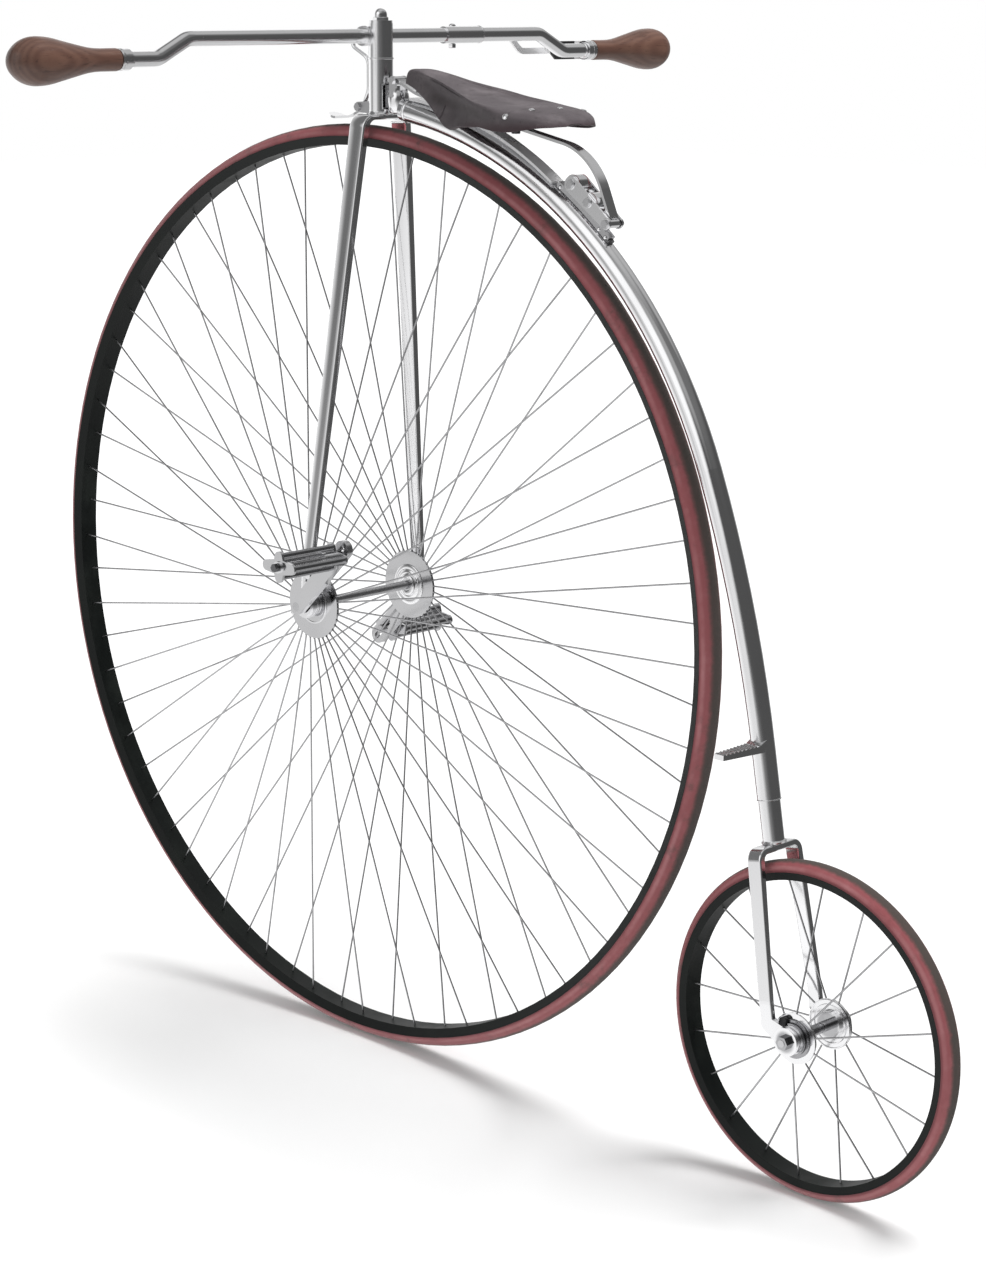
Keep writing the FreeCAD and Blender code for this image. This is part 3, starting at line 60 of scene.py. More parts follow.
Colour = tuple[float, float, float]
Point = tuple[float, float, float]
Profile = Sequence[tuple[float, float]]
Ring = tuple[float, float, float]       # a flat ring's outer radius, inner radius and thickness
Knob = tuple[float, float]              # a dome's radius or a nut's width across flats, and its height

FRONT_HUB: Point = (0.235, 0.0, -0.576)
REAR_HUB: Point = (-0.4359594, 0.0, -0.931)
BEND_RADIUS = 0.5575        # of the backbone's curve about the front hub
BACKBONE_RADIUS = 0.0125    # of its tube
BAR: Point = (0.2136, 0.0, 0.055)
LEFT: Point = (0.0, 1.0, 0.0)
UP: Point = (0.0, 0.0, 1.0)
DOWN: Point = (0.0, 0.0, -1.0)
WELD = 2e-6                 # vertices closer than this are merged
# grey of the spoke seats, and the colour of the painted shade near the rear hub's axis
SMOKY: Colour = (0.30, 0.30, 0.31)


class Body(Enum):
    """Bodies of the CAD model that the trim rides on."""

    FRAME = "frame"
    FORK = "fork"
    FRONT_WHEEL = "front_wheel"
    REAR_WHEEL = "rear_wheel"


# ------------------------------------------------------------------ shader maths

def operator(operation: str, swapped: bool = False) -> Callable[["Wire", Operand], "Wire"]:
    """Method that adds a Math node on self and another value, or on the two swapped."""
    def method(self: "Wire", other: Operand) -> "Wire":
        """Output of the Math node."""
        values = (other, self) if swapped else (self, other)
        return self.graph.node("ShaderNodeMath", {"operation": operation}, dict(enumerate(values)))
    return method


class Wire:
    """A node socket whose arithmetic adds Math nodes."""

    def __init__(self, graph: "Graph", socket: bpy.types.NodeSocket) -> None:
        """Keep the graph and the output socket."""
        self.graph = graph
        self.socket = socket

    __add__ = __radd__ = operator("ADD")
    __sub__ = operator("SUBTRACT")
    __rsub__ = operator("SUBTRACT", swapped=True)
    __mul__ = __rmul__ = operator("MULTIPLY")
    __truediv__ = operator("DIVIDE")
    __pow__ = operator("POWER")
    largest = operator("MAXIMUM")
    smallest = operator("MINIMUM")

    def __abs__(self) -> "Wire":
        """Absolute value."""
        return self.graph.node("ShaderNodeMath", {"operation": "ABSOLUTE"}, {0: self})

    def sine(self) -> "Wire":
        """Sine of self in radians."""
        return self.graph.node("ShaderNodeMath", {"operation": "SINE"}, {0: self})

    def step(self, low: float, high: float) -> "Wire":
        """Smooth rise from 0 at low to 1 at high; low may be the larger of the two."""
        settings = {"interpolation_type": "SMOOTHSTEP"}
        if low < high:
            return self.graph.node("ShaderNodeMapRange", settings,
                                   {"Value": self, "From Min": low, "From Max": high})
        return 1 - self.step(high, low)


class Graph:
    """Node tree of one material or world."""

    def __init__(self, owner: Union[bpy.types.Material, bpy.types.World]) -> None:
        """Empty the owner's node tree and keep it."""
        owner.use_nodes = True
        self.tree = owner.node_tree
        self.tree.nodes.clear()
        self._object_wire: Optional[Wire] = None

    def node(self, kind: str, settings: Optional[dict] = None, inputs: Optional[dict] = None,
             output: Union[int, str] = 0) -> Wire:
        """Add a node.

        Args:
            kind: Blender's name of the node type.
            settings: attributes that are set first.
            inputs: socket name or number to a value or a Wire.
            output: name or number of the output that is returned.

        Returns:
            The output as a Wire.
        """
        made = self.tree.nodes.new(kind)
        for name, value in (settings or {}).items():
            setattr(made, name, value)
        for name, value in (inputs or {}).items():
            socket = self._input(made, name)
            if isinstance(value, Wire):
                self.tree.links.new(value.socket, socket)
            else:
                socket.default_value = value
        return Wire(self, self._output(made, output))

    @staticmethod
    def _input(made: bpy.types.Node, name: Union[int, str]) -> bpy.types.NodeSocket:
        """The enabled input of that name, or the one at that place."""
        if isinstance(name, int):
            return made.inputs[name]
        return next(s for s in made.inputs if s.name == name and s.enabled)

    @staticmethod
    def _output(made: bpy.types.Node, name: Union[int, str]) -> Optional[bpy.types.NodeSocket]:
        """The enabled output of that name, or the enabled one at that place."""
        shown = [s for s in made.outputs if s.enabled]
        if isinstance(name, str):
            return next(s for s in shown if s.name == name)
        return shown[name] if shown else None

    def here(self) -> Wire:
        """Object coordinates, which are the row's frame at rest."""
        if self._object_wire is None:
            self._object_wire = self.node("ShaderNodeTexCoord", output="Object")
        return self._object_wire

    def drawn_out(self, sideways: float) -> Wire:
        """Object coordinates scaled sideways, so that a pattern on them is longer that way."""
        return self.node("ShaderNodeMapping", {"vector_type": "POINT"},
                         {"Vector": self.here(), "Scale": (1.0, sideways, 1.0)})

    def axes(self, vector: Optional[Wire] = None) -> tuple[Wire, Wire, Wire]:
        """X, Y and Z of a vector, or of the object coordinates."""
        split = self.node("ShaderNodeSeparateXYZ", inputs={0: vector or self.here()})
        sockets = split.socket.node.outputs
        return Wire(self, sockets[0]), Wire(self, sockets[1]), Wire(self, sockets[2])

    def noise(self, scale: float, detail: float = 3.0, roughness: float = 0.55,
              vector: Optional[Wire] = None) -> Wire:
        """Noise from 0 to 1 on the object coordinates, or on another vector."""
        return self.node("ShaderNodeTexNoise", {}, {"Vector": vector or self.here(), "Scale": scale,
                                                    "Detail": detail, "Roughness": roughness})

    def cells(self, scale: float) -> Wire:
        """Distance to the nearest of scattered points."""
        return self.node("ShaderNodeTexVoronoi", {}, {"Vector": self.here(), "Scale": scale}, "Distance")

    def off_axis(self, hub: Point) -> Wire:
        """Distance from the sideways axis through a hub."""
        x, _, z = self.axes()
        return ((x - hub[0]) ** 2 + (z - hub[2]) ** 2) ** 0.5

    def clouds(self) -> Wire:
        """Broad soft patches of haze on plate."""
        return self.noise(9.0, 4.0).step(0.42, 0.72)

    def blend(self, factor: Operand, first: Union[Wire, Colour], second: Union[Wire, Colour]) -> Wire:
        """Mix of two colours."""
        ends = [c if isinstance(c, Wire) else (*c, 1) for c in (first, second)]
        made = self.tree.nodes.new("ShaderNodeMix")
        made.data_type = "RGBA"
        for number, value in ((0, factor), (6, ends[0]), (7, ends[1])):
            if isinstance(value, Wire):
                self.tree.links.new(value.socket, made.inputs[number])
            else:
                made.inputs[number].default_value = value
        return Wire(self, made.outputs[2])

    def bump(self, height: Wire, depth: float, strength: float = 1.0) -> Wire:
        """Normal of a height from 0 to 1, whose full step is depth metres."""
        return self.node("ShaderNodeBump", {}, {"Height": height, "Distance": depth, "Strength": strength})

    def surface(self, **inputs: Union[Operand, Colour]) -> None:
        """Finish the tree with a Principled shader; underscores in names stand for spaces."""
        values = {}
        for name, value in inputs.items():
            plain = name.replace("_", " ")
            values[plain] = (*value, 1) if isinstance(value, tuple) else value
        shader = self.node("ShaderNodeBsdfPrincipled", {}, values)
        self.node("ShaderNodeOutputMaterial", {}, {"Surface": shader})


# ------------------------------------------------------------------ finishes

class Finish:
    """A finish that makes its material once."""

    label: str = ""
    slot: str = ""

    def paint(self, graph: Graph) -> None:
        """Fill the material's node tree."""
        raise NotImplementedError

    def material(self) -> bpy.types.Material:
        """The finish's material, made the first time it is asked for."""
        name = type(self).__name__ + "_" + self.label
        made = bpy.data.materials.get(name)
        if made is None:
            made = bpy.data.materials.new(name)
            self.paint(Graph(made))
        return made


@dataclass(frozen=True)
class Plate(Finish):
    """Bright nickel plate: a faint haze, fine polishing lines and a few dull specks."""

    label: str = "nickel"
    slot: str = "chrome"
    colour: Colour = (0.86, 0.86, 0.87)
    dull: Colour = (0.70, 0.70, 0.71)
    gloss: float = 0.10
    haze: float = 0.10
    metal: float = 1.0

    def paint(self, graph: Graph) -> None:
        """Roughness rises in cloudy patches, and specks are duller and darker."""
        clouds = graph.clouds()
        fine = graph.noise(420.0, 2.0)
        specks = graph.cells(260.0).step(0.16, 0.06) * graph.noise(30.0, 2.0).step(0.55, 0.75)
        worn = (0.35 * clouds + 0.65 * specks).smallest(1.0)
        rough = self.gloss + self.haze * clouds * 0.6 + 0.05 * fine + 0.25 * specks
        graph.surface(Base_Color=graph.blend(worn, self.colour, self.dull), Metallic=self.metal,
                      Roughness=rough, Normal=graph.bump(graph.noise(160.0, 3.0), 0.00002, 0.35))


@dataclass(frozen=True)
class BladePlate(Plate):
    """Nickel plate on the fork blades, whose flat sides look slightly crowned."""

    label: str = "blade"
    top: Point = (0.201, 0.0, -0.029)
    foot: Point = FRONT_HUB
    half_top: float = 0.012
    half_foot: float = 0.0075
    crown: float = 0.0009

    def paint(self, graph: Graph) -> None:
        """The crown's height is 1 - u squared, where u runs from -1 to 1 across the blade."""
        x, _, z = graph.axes()
        down = (self.top[2] - z) / (self.top[2] - self.foot[2])
        middle = self.top[0] + down * (self.foot[0] - self.top[0])
        half = self.half_top + down * (self.half_foot - self.half_top)
        u = ((x - middle) / half).largest(-1.0).smallest(1.0)
        clouds = graph.clouds()
        graph.surface(Base_Color=graph.blend(clouds * 0.3, self.colour, self.dull), Metallic=1.0,
                      Roughness=self.gloss + self.haze * clouds * 0.5,
                      Normal=graph.bump(1 - u * u, self.crown, 1.0))


@dataclass(frozen=True)
class HubPlate(Plate):
    """Nickel plate with painted shade on the barrel between the rear hub's flanges."""

    label: str = "barrel"
    barrel: float = 0.0125
    axis_shade: Colour = SMOKY

    def paint(self, graph: Graph) -> None:
        """The painted shade fades out with distance from the hub's axis."""
        clouds = graph.noise(40.0, 4.0).step(0.35, 0.75)
        # painted shade: darker within the barrel's radius of the rear hub's axis
        near = graph.off_axis(REAR_HUB).step(self.barrel + 0.004, self.barrel - 0.001)
        graph.surface(Base_Color=graph.blend(near * (0.75 + 0.25 * clouds), self.colour, self.axis_shade),
                      Metallic=self.metal, Roughness=self.gloss + self.haze * clouds * 0.6,
                      Normal=graph.bump(graph.noise(160.0, 3.0), 0.00002, 0.35))


@dataclass(frozen=True)
class LeverPlate(Plate):
    """Satin plate of the brake lever, whose finger blade is painted black as shade."""

    label: str = "lever"
    metal: float = 0.45
    # the stretch of the finger blade, by distance from the middle, that is painted black as shade
    case_from: float = 0.300
    case_to: float = 0.342
    edge: float = 0.0004
    rib_rate: float = 3600.0    # radians of rib a metre
    # colour of the painted shade on the blade
    black: Colour = (0.018, 0.018, 0.019)

    def paint(self, graph: Graph) -> None:
        """The painted shade covers a stretch of the blade's length, which is also made rough, less metallic and
        cross-ribbed.
        """
        _, y, _ = graph.axes()
        away = abs(y)
        # painted shade: the blade's stretch is painted black
        case = (away.step(self.case_from - self.edge, self.case_from)
                * away.step(self.case_to, self.case_to - self.edge))
        ribs = (y * self.rib_rate).sine() * 0.5 + 0.5
        clouds = graph.clouds()
        graph.surface(Base_Color=graph.blend(case, self.colour, self.black),
                      Metallic=self.metal - self.metal * case, Roughness=0.24 + 0.08 * clouds + 0.34 * case,
                      Normal=graph.bump(ribs * case, 0.0003, 0.7))


@dataclass(frozen=True)
class DrawnSteel(Finish):
    """Drawn or turned steel with a satin sheen."""

    label: str = "drawn"
    slot: str = "steel"
    colour: Colour = (0.58, 0.58, 0.59)
    gloss: float = 0.22

    def paint(self, graph: Graph) -> None:
        """Fine mottling in colour and roughness."""
        mottle = graph.noise(220.0, 3.0)
        stain = graph.noise(26.0, 4.0).step(0.5, 0.75)
        tone = graph.blend(stain * 0.5, self.colour, tuple(c * 0.6 for c in self.colour))
        graph.surface(Base_Color=tone, Metallic=1.0, Roughness=self.gloss + 0.12 * mottle + 0.12 * stain,
                      Normal=graph.bump(mottle, 0.00002, 0.4))


@dataclass(frozen=True)
class PinSteel(DrawnSteel):
    """Drawn steel of the pedal pins, darker on their outer nuts."""

    label: str = "pin"
    nut_from: float = 0.1895
    black: Colour = (0.16, 0.16, 0.165)

    def paint(self, graph: Graph) -> None:
        """The dark tone starts at the nut's distance from the wheel's plane."""
        _, y, _ = graph.axes()
        mottle = graph.noise(220.0, 3.0)
        nut = abs(y).step(self.nut_from - 0.0004, self.nut_from)
        graph.surface(Base_Color=graph.blend(nut, self.colour, self.black), Metallic=1.0,
                      Roughness=self.gloss + 0.12 * mottle, Normal=graph.bump(mottle, 0.00002, 0.4))


@dataclass(frozen=True)
class TyreRubber(Finish):
    """Dull red rubber with a dusty dark band on the tread's crest, a painted highlight band below it and
    painted shade at the lip by the rim.
    """

    label: str = "front"
    slot: str = "red_rubber"
    hub: Point = (0, 0, 0)
    radius: float = 0.5
    crest: tuple[float, float] = (0.0042, 0.0006)   # depth below the crest where the dust thins out
    # depth below the crest of the painted highlight band, and where the painted shade at the lip starts
    painted_highlight: float = 0.0088
    lip: float = 0.0130
    red: Colour = (0.290, 0.084, 0.092)
    # the pale colour serves a random paler bloom and the painted highlight; the deep one is the painted shade
    # by the rim
    pale: Colour = (0.48, 0.22, 0.23)
    deep: Colour = (0.085, 0.024, 0.030)
    dust: Colour = (0.050, 0.057, 0.050)

    def paint(self, graph: Graph) -> None:
        """Masks follow the distance from the hub's axis, roughened by noise; the pale band is a painted
        highlight and the dark lip is painted shade.
        """
        below = self.radius - graph.off_axis(self.hub)
        ragged = 0.45 * graph.noise(48.0, 5.0, 0.65) + 0.55 * graph.noise(190.0, 4.0, 0.7)
        fine = graph.noise(600.0, 3.0)
        crest = (below + (ragged - 0.5) * 0.0040).step(self.crest[0], self.crest[1])
        # painted highlight: a pale band along the tyre's side, broken into patches
        painted_highlight = abs(below - self.painted_highlight + (ragged - 0.5) * 0.002).step(0.0030, 0.0004)
        patchy = graph.noise(11.0, 4.0, 0.6).step(0.36, 0.62)
        # painted shade: the side darkens towards the rim
        lip = below.step(self.lip - 0.0022, self.lip)
        scuffs = graph.noise(26.0, 6.0, 0.72).step(0.52, 0.74)
        bloom = graph.noise(90.0, 4.0).step(0.45, 0.8)
        body = graph.blend((bloom * 0.16 + painted_highlight * patchy * 0.5).smallest(1.0), self.red, self.pale)
        body = graph.blend(lip * 0.55, body, self.deep)
        scuffed = graph.blend(scuffs * 0.55, body, self.dust)
        colour = graph.blend(crest * (0.80 + 0.20 * ragged), scuffed, self.dust)
        pores = graph.cells(900.0).step(0.0, 0.5)
        graph.surface(Base_Color=colour, Roughness=0.50 + 0.30 * ragged * crest + 0.08 * fine,
                      Normal=graph.bump(pores * 0.4 + ragged * 0.6, 0.00025, 0.5), Specular_IOR_Level=0.35)


@dataclass(frozen=True)
class Enamel(Finish):
    """Black stove enamel with fine ripple, dust and small chips."""

    label: str = "black"
    slot: str = "black_enamel"
    colour: Colour = (0.006, 0.0075, 0.007)
    dusty: Colour = (0.020, 0.024, 0.021)

    def paint(self, graph: Graph) -> None:
        """Dust lightens the colour in clouds and dulls the gloss."""
        dust = graph.noise(14.0, 5.0, 0.62).step(0.4, 0.8)
        specks = graph.cells(420.0).step(0.12, 0.05)
        tone = graph.blend((dust * 0.6 + specks * 0.5).smallest(1.0), self.colour, self.dusty)
        graph.surface(Base_Color=tone, Roughness=0.44 + 0.22 * dust, Specular_IOR_Level=0.18,
                      Normal=graph.bump(graph.noise(120.0, 3.0), 0.00006, 0.4))


@dataclass(frozen=True)
class Walnut(Finish):
    """Varnished walnut, its grain running along the grip."""

    label: str = "grain"
    slot: str = "walnut"
    heart: Point = (-0.052, 0.0, 0.038)     # on the axis of the growth rings
    bend: float = 0.020                     # how far noise moves a ring
    ring_rate: float = 1250.0               # radians of ring a metre
    light: Colour = (0.130, 0.067, 0.047)
    middle: Colour = (0.090, 0.043, 0.031)
    dark: Colour = (0.050, 0.023, 0.016)

    def paint(self, graph: Graph) -> None:
        """Growth rings are cylinders about a line beside the grip, bent by noise; pores are long streaks."""
        warp = graph.noise(9.0, 3.0, vector=graph.drawn_out(0.35))
        rings = ((graph.off_axis(self.heart) + warp * self.bend) * self.ring_rate).sine() * 0.5 + 0.5
        streaks = graph.noise(520.0, 3.0, vector=graph.drawn_out(0.06))
        pores = streaks.step(0.58, 0.70)
        clouds = graph.noise(38.0, 3.0, vector=graph.drawn_out(0.4))
        base = graph.blend(rings * 0.75 + clouds * 0.2, self.middle, self.light)
        deep = graph.blend(clouds.step(0.45, 0.75) * 0.6, base, self.dark)
        colour = graph.blend(pores * 0.7, deep, self.dark)
        graph.surface(Base_Color=colour, Roughness=0.36 + 0.16 * streaks, Coat_Weight=0.25,
                      Coat_Roughness=0.22, Normal=graph.bump(1 - pores, 0.00012, 0.5))


@dataclass(frozen=True)
class Hide(Finish):
    """Worn dark saddle leather: pebbled grain, creases and rubbed high places, with painted shade along the
    fold, the valley and the hem.
    """

    label: str = "saddle"
    slot: str = "saddle_hide"
    colour: Colour = (0.080, 0.069, 0.074)
    worn: Colour = (0.155, 0.137, 0.144)
    # dark serves the grain and creases and the painted shade of the fold and valley; maroon is the hem's
    # painted shade
    dark: Colour = (0.030, 0.024, 0.024)
    maroon: Colour = (0.040, 0.022, 0.026)
    # where the painted shade lines of the fold and the valley, and the flap, lie at x = 0, and how fast that
    # shifts along x
    fold: tuple[float, float] = (0.0414, -0.245)
    valley: tuple[float, float] = (-0.0215, 0.13)
    flap: tuple[float, float] = (0.030, -0.12)

    def paint(self, graph: Graph) -> None:
        """Grain is small cells, wear is cloudy and small creases are stretched noise.

        The fold is a line of painted shade beside the ridge on the far side, the valley a broad band of painted
        shade on the flap, and the hem is painted darker maroon as shade low on the rear half.
        """
        grain = graph.cells(1150.0).step(0.05, 0.55)
        pebble = graph.noise(700.0, 4.0, 0.6)
        rubbed = graph.noise(28.0, 5.0, 0.6).step(0.42, 0.74)
        crease = graph.noise(150.0, 4.0, 0.6, graph.drawn_out(0.35)).step(0.56, 0.68)
        tone = graph.blend(rubbed * 0.7, self.colour, self.worn)
        tone = graph.blend(crease * 0.35, tone, self.dark)
        tone = graph.blend((1 - grain) * 0.25, tone, self.dark)
        x, y, z = graph.axes()
        out = abs(y)
        # painted shade: a dark line along the far side's fold
        fold = (abs(out - (x * self.fold[1] + self.fold[0])).step(0.0011, 0.0003) * x.step(-0.036, -0.016)
                * x.step(0.118, 0.104))
        tone = graph.blend(fold * y.step(0.010, -0.010) * 0.55, tone, self.dark)
        ragged = (rubbed - 0.5) * 0.003
        # painted shade: a broad dark band along the valley on the flap
        valley = abs(z - (x * self.valley[1] + self.valley[0]) + ragged).step(0.0075, 0.0010)
        side = ((out - (x * self.flap[1] + self.flap[0])).step(-0.004, 0.002) * x.step(0.112, 0.090)
                * x.step(-0.030, 0.0))
        tone = graph.blend(valley * side * 0.45, tone, self.dark)
        # painted shade: darker maroon low down on the rear half
        hem = z.step(-0.0235, -0.0345) * x.step(0.040, 0.0)
        tone = graph.blend(hem * 0.8, tone, self.maroon)
        height = grain * 0.55 + pebble * 0.3 + (1 - crease) * 0.15
        graph.surface(Base_Color=tone, Roughness=0.56 + 0.18 * pebble + 0.1 * rubbed,
                      Specular_IOR_Level=0.4, Normal=graph.bump(height, 0.00035, 0.6))


@dataclass(frozen=True)
class DullIron(Finish):
    """Dark oiled iron with a trace of rust."""

    label: str = "oiled"
    slot: str = "shadow_steel"
    colour: Colour = (0.060, 0.060, 0.062)
    rust: Colour = (0.085, 0.045, 0.028)

    def paint(self, graph: Graph) -> None:
        """Rust gathers in cloudy patches."""
        patches = graph.noise(60.0, 5.0, 0.65).step(0.52, 0.75)
        fine = graph.noise(500.0, 3.0)
        graph.surface(Base_Color=graph.blend(patches * 0.6, self.colour, self.rust), Metallic=0.85,
                      Roughness=0.42 + 0.3 * patches + 0.1 * fine, Normal=graph.bump(fine, 0.0001, 0.5))


# Copies of the nickel plate painted darker as shade: one for the flanges, cranks, crank bolts and pedal plates,
# a darker one for the pedal bars and the rear cup rings
SHADED_NICKEL = Plate("disc", colour=(0.66, 0.66, 0.67), dull=(0.52, 0.52, 0.53))
DARKER_SHADED_NICKEL = Plate("bars", colour=(0.40, 0.40, 0.41), dull=(0.28, 0.28, 0.29))
SPOKE = DrawnSteel("spoke", colour=(0.46, 0.46, 0.47), gloss=0.30)


# ------------------------------------------------------------------ surfaces

@dataclass
class Shell:
    """Vertices as an (n, 3) array and quads as an (m, 4) array."""

    vertices: np.ndarray
    faces: np.ndarray

    @classmethod
    def sheet(cls, grid: np.ndarray, close_rows: bool = False, close_columns: bool = False) -> "Shell":
        """Quads over a grid of points.

        Args:
            grid: points as (rows, columns, 3).
            close_rows: join the last row to the first.
            close_columns: join the last column to the first.

        Returns:
            The shell; quad (i, j) joins points (i, j), (i+1, j), (i+1, j+1) and (i, j+1).
        """
        rows, columns = grid.shape[:2]
        i, j = np.meshgrid(np.arange(rows - (not close_rows)), np.arange(columns - (not close_columns)),
                           indexing="ij")
        below, beside = (i + 1) % rows, (j + 1) % columns
        quads = np.stack([i * columns + j, below * columns + j, below * columns + beside,
                          i * columns + beside], axis=-1)
        return cls(grid.reshape(-1, 3), quads.reshape(-1, 4))

    def __add__(self, other: "Shell") -> "Shell":
        """Both shells in one."""
        return Shell(np.vstack([self.vertices, other.vertices]),
                     np.vstack([self.faces, other.faces + len(self.vertices)]))

    def across(self) -> "Shell":
        """Mirror image in the plane y = 0."""
        return Shell(self.vertices * (1, -1, 1), self.faces[:, ::-1])

    def both(self) -> "Shell":
        """The shell and its mirror image in y = 0."""
        return self + self.across()

    def piece(self, name: str, rides: Body, finish: Finish, sharp: float = 35.0,
              bevel: float = 0.0) -> bpy.types.Object:
        """Make the scene object: doubles merged, faces outwards, shaded smooth below the sharp angle.

        Args:
            name: piece's name.
            rides: body it moves with.
            finish: its finish.
            sharp: angle in degrees above which an edge stays sharp.
            bevel: width of a Bevel modifier, or 0.

        Returns:
            The object, at the origin.
        """
        mesh = bpy.data.meshes.new(name)
        mesh.from_pydata(self.vertices.tolist(), [], self.faces.tolist())
        tidy = bmesh.new()
        tidy.from_mesh(mesh)
        bmesh.ops.remove_doubles(tidy, verts=tidy.verts, dist=WELD)
        bmesh.ops.recalc_face_normals(tidy, faces=tidy.faces)
        tidy.to_mesh(mesh)
        tidy.free()
        mesh.shade_smooth()
        mesh.set_sharp_from_angle(angle=math.radians(sharp))
        mesh.materials.append(finish.material())
        made = placed(name, mesh)
        if bevel:
            round_off = made.modifiers.new("edges", "BEVEL")
            round_off.width = bevel
            round_off.segments = 2
            round_off.limit_method = "ANGLE"
        body = rides.value
        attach(made, body)
        LOG.info("%s: %d faces, rides on %s", name, len(mesh.polygons), body)
        return made


def placed(name: str, data: bpy.types.ID) -> bpy.types.Object:
    """Object of that name and data, in the scene."""
    made = bpy.data.objects.new(name, data)
    bpy.context.scene.collection.objects.link(made)
    return made


def mm(*rows: Sequence[float]) -> np.ndarray:
    """Rows given in millimetres, in metres."""
    return np.array(rows, float) / 1000


def joined(shells: Iterable[Shell]) -> Shell:
    """All the shells in one."""
    first, *rest = shells
    return sum(rest, first)


def side_frame(direction: np.ndarray) -> tuple[np.ndarray, np.ndarray, np.ndarray]:
    """Unit direction and two unit vectors square to it."""
    along = np.asarray(direction, float)
    along = along / np.linalg.norm(along)
    helper = np.array((0.0, 0.0, 1.0)) if abs(along[2]) < 0.9 else np.array((1.0, 0.0, 0.0))
    first = np.cross(helper, along)
    first /= np.linalg.norm(first)
    return along, first, np.cross(along, first)


def turned(profile: Sequence[Sequence[float]], start: Sequence[float], direction: Sequence[float],
           sides: int = 32, ring: bool = False, phase: float = 0.0) -> Shell:
    """Profile turned about an axis.

    Point = start + along * direction + radius * (cos a * first + sin a * second).

    Args:
        profile: (radius, along) pairs, from one end to the other.
        start: origin of the axis.
        direction: its direction.
        sides: number of flats round the axis.
        ring: join the profile's last point to its first.
        phase: angle of the first corner.

    Returns:
        The shell.
    """
    along, first, second = side_frame(direction)
    radius, height = np.asarray(profile, float).T
    angle = np.arange(sides) * 2 * np.pi / sides + phase
    round_part = np.cos(angle)[:, None] * first + np.sin(angle)[:, None] * second
    grid = (np.asarray(start) + height[None, :, None] * along
            + radius[None, :, None] * round_part[:, None, :])
    return Shell.sheet(grid, close_rows=True, close_columns=ring)


def carried(path: np.ndarray, profile: np.ndarray, scale: Optional[np.ndarray] = None) -> Shell:
    """Closed profile carried along a path, with capped ends.

    Point = path + a * side + b * (tangent x side), where (a, b) is the profile's point and side is the sideways
    direction made square to the path.

    Args:
        path: (n, 3) points.
        profile: (k, 2) points in order.
        scale: size factor at each path point.

    Returns:
        The shell, whose ends are shrunk to their middles.
    """
    path = np.asarray(path, float)
    tangent = np.gradient(path, axis=0)
    tangent /= np.linalg.norm(tangent, axis=1, keepdims=True)
    side = np.asarray(LEFT) - tangent * (tangent @ np.asarray(LEFT))[:, None]
    side /= np.linalg.norm(side, axis=1, keepdims=True)
    up = np.cross(tangent, side)
    size = np.ones(len(path)) if scale is None else np.asarray(scale, float)
    grid = (path[:, None, :] + size[:, None, None] * (profile[None, :, :1] * side[:, None, :]
                                                      + profile[None, :, 1:] * up[:, None, :]))
    ends = [np.repeat(grid[k].mean(axis=0)[None, None], len(profile), axis=1) for k in (0, -1)]
    return Shell.sheet(np.concatenate([ends[0], grid, ends[1]]), close_columns=True)


def oval(half_a: float, half_b: float, points: int = 16, power: float = 2.0) -> np.ndarray:
    """Closed superellipse: |a/half_a|^power + |b/half_b|^power = 1."""
    angle = np.arange(points) * 2 * np.pi / points
    c, s = np.cos(angle), np.sin(angle)
    return np.stack([half_a * np.sign(c) * np.abs(c) ** (2 / power),
                     half_b * np.sign(s) * np.abs(s) ** (2 / power)], axis=-1)


def nut(centre: Sequence[float], direction: Point, size: Knob, phase: float = 0.0) -> Shell:
    """Hexagonal nut with a chamfered top, standing on its centre."""
    corner, tall = size[0] / math.sqrt(3), size[1]
    profile = [(0, 0), (corner, 0), (corner, tall * 0.82), (corner * 0.9, tall), (0, tall)]
    return turned(profile, centre, direction, 6, phase=phase)


def dome(centre: Sequence[float], direction: Sequence[float], size: Knob) -> Shell:
    """Round head: radius * cos t wide and tall * sin t high, t from 0 to a right angle."""
    radius, tall = size
    t = np.linspace(0, np.pi / 2, 7)
    root = [(0, -tall * 0.2), (radius * 0.9, -tall * 0.2)]
    return turned(root + list(zip(radius * np.cos(t), tall * np.sin(t))), centre, direction, 20)


def washer(centre: Sequence[float], direction: Sequence[float], size: Ring, sides: int = 32) -> Shell:
    """Flat ring with slightly rounded edges."""
    outer, inner, thick = size
    e = min(thick, outer - inner) * 0.22
    profile = [(inner, 0), (outer - e, 0), (outer, e), (outer, thick - e), (outer - e, thick), (inner, thick)]
    return turned(profile, centre, direction, sides, ring=True)


def through(knots: int, samples: np.ndarray) -> np.ndarray:
    """Weights of a smooth curve through evenly numbered knots (Catmull-Rom).

    For a place p = k + t, the four knots about it weigh
    (-t + 2t^2 - t^3, 2 - 5t^2 + 3t^3, t + 4t^2 - 3t^3, -t^2 + t^3) / 2; ends repeat.

    Args:
        knots: number of knots.
        samples: places from 0 to knots - 1.

    Returns:
        A (samples, knots) matrix.
    """
    base = np.clip(np.floor(samples).astype(int), 0, knots - 2)
    t = samples - base
    weights = np.stack([-t + 2 * t**2 - t**3, 2 - 5 * t**2 + 3 * t**3, t + 4 * t**2 - 3 * t**3,
                        -t**2 + t**3], axis=-1) / 2
    matrix = np.zeros((len(samples), knots))
    for shift in range(4):
        np.add.at(matrix, (np.arange(len(samples)), np.clip(base + shift - 1, 0, knots - 1)),
                  weights[:, shift])
    return matrix


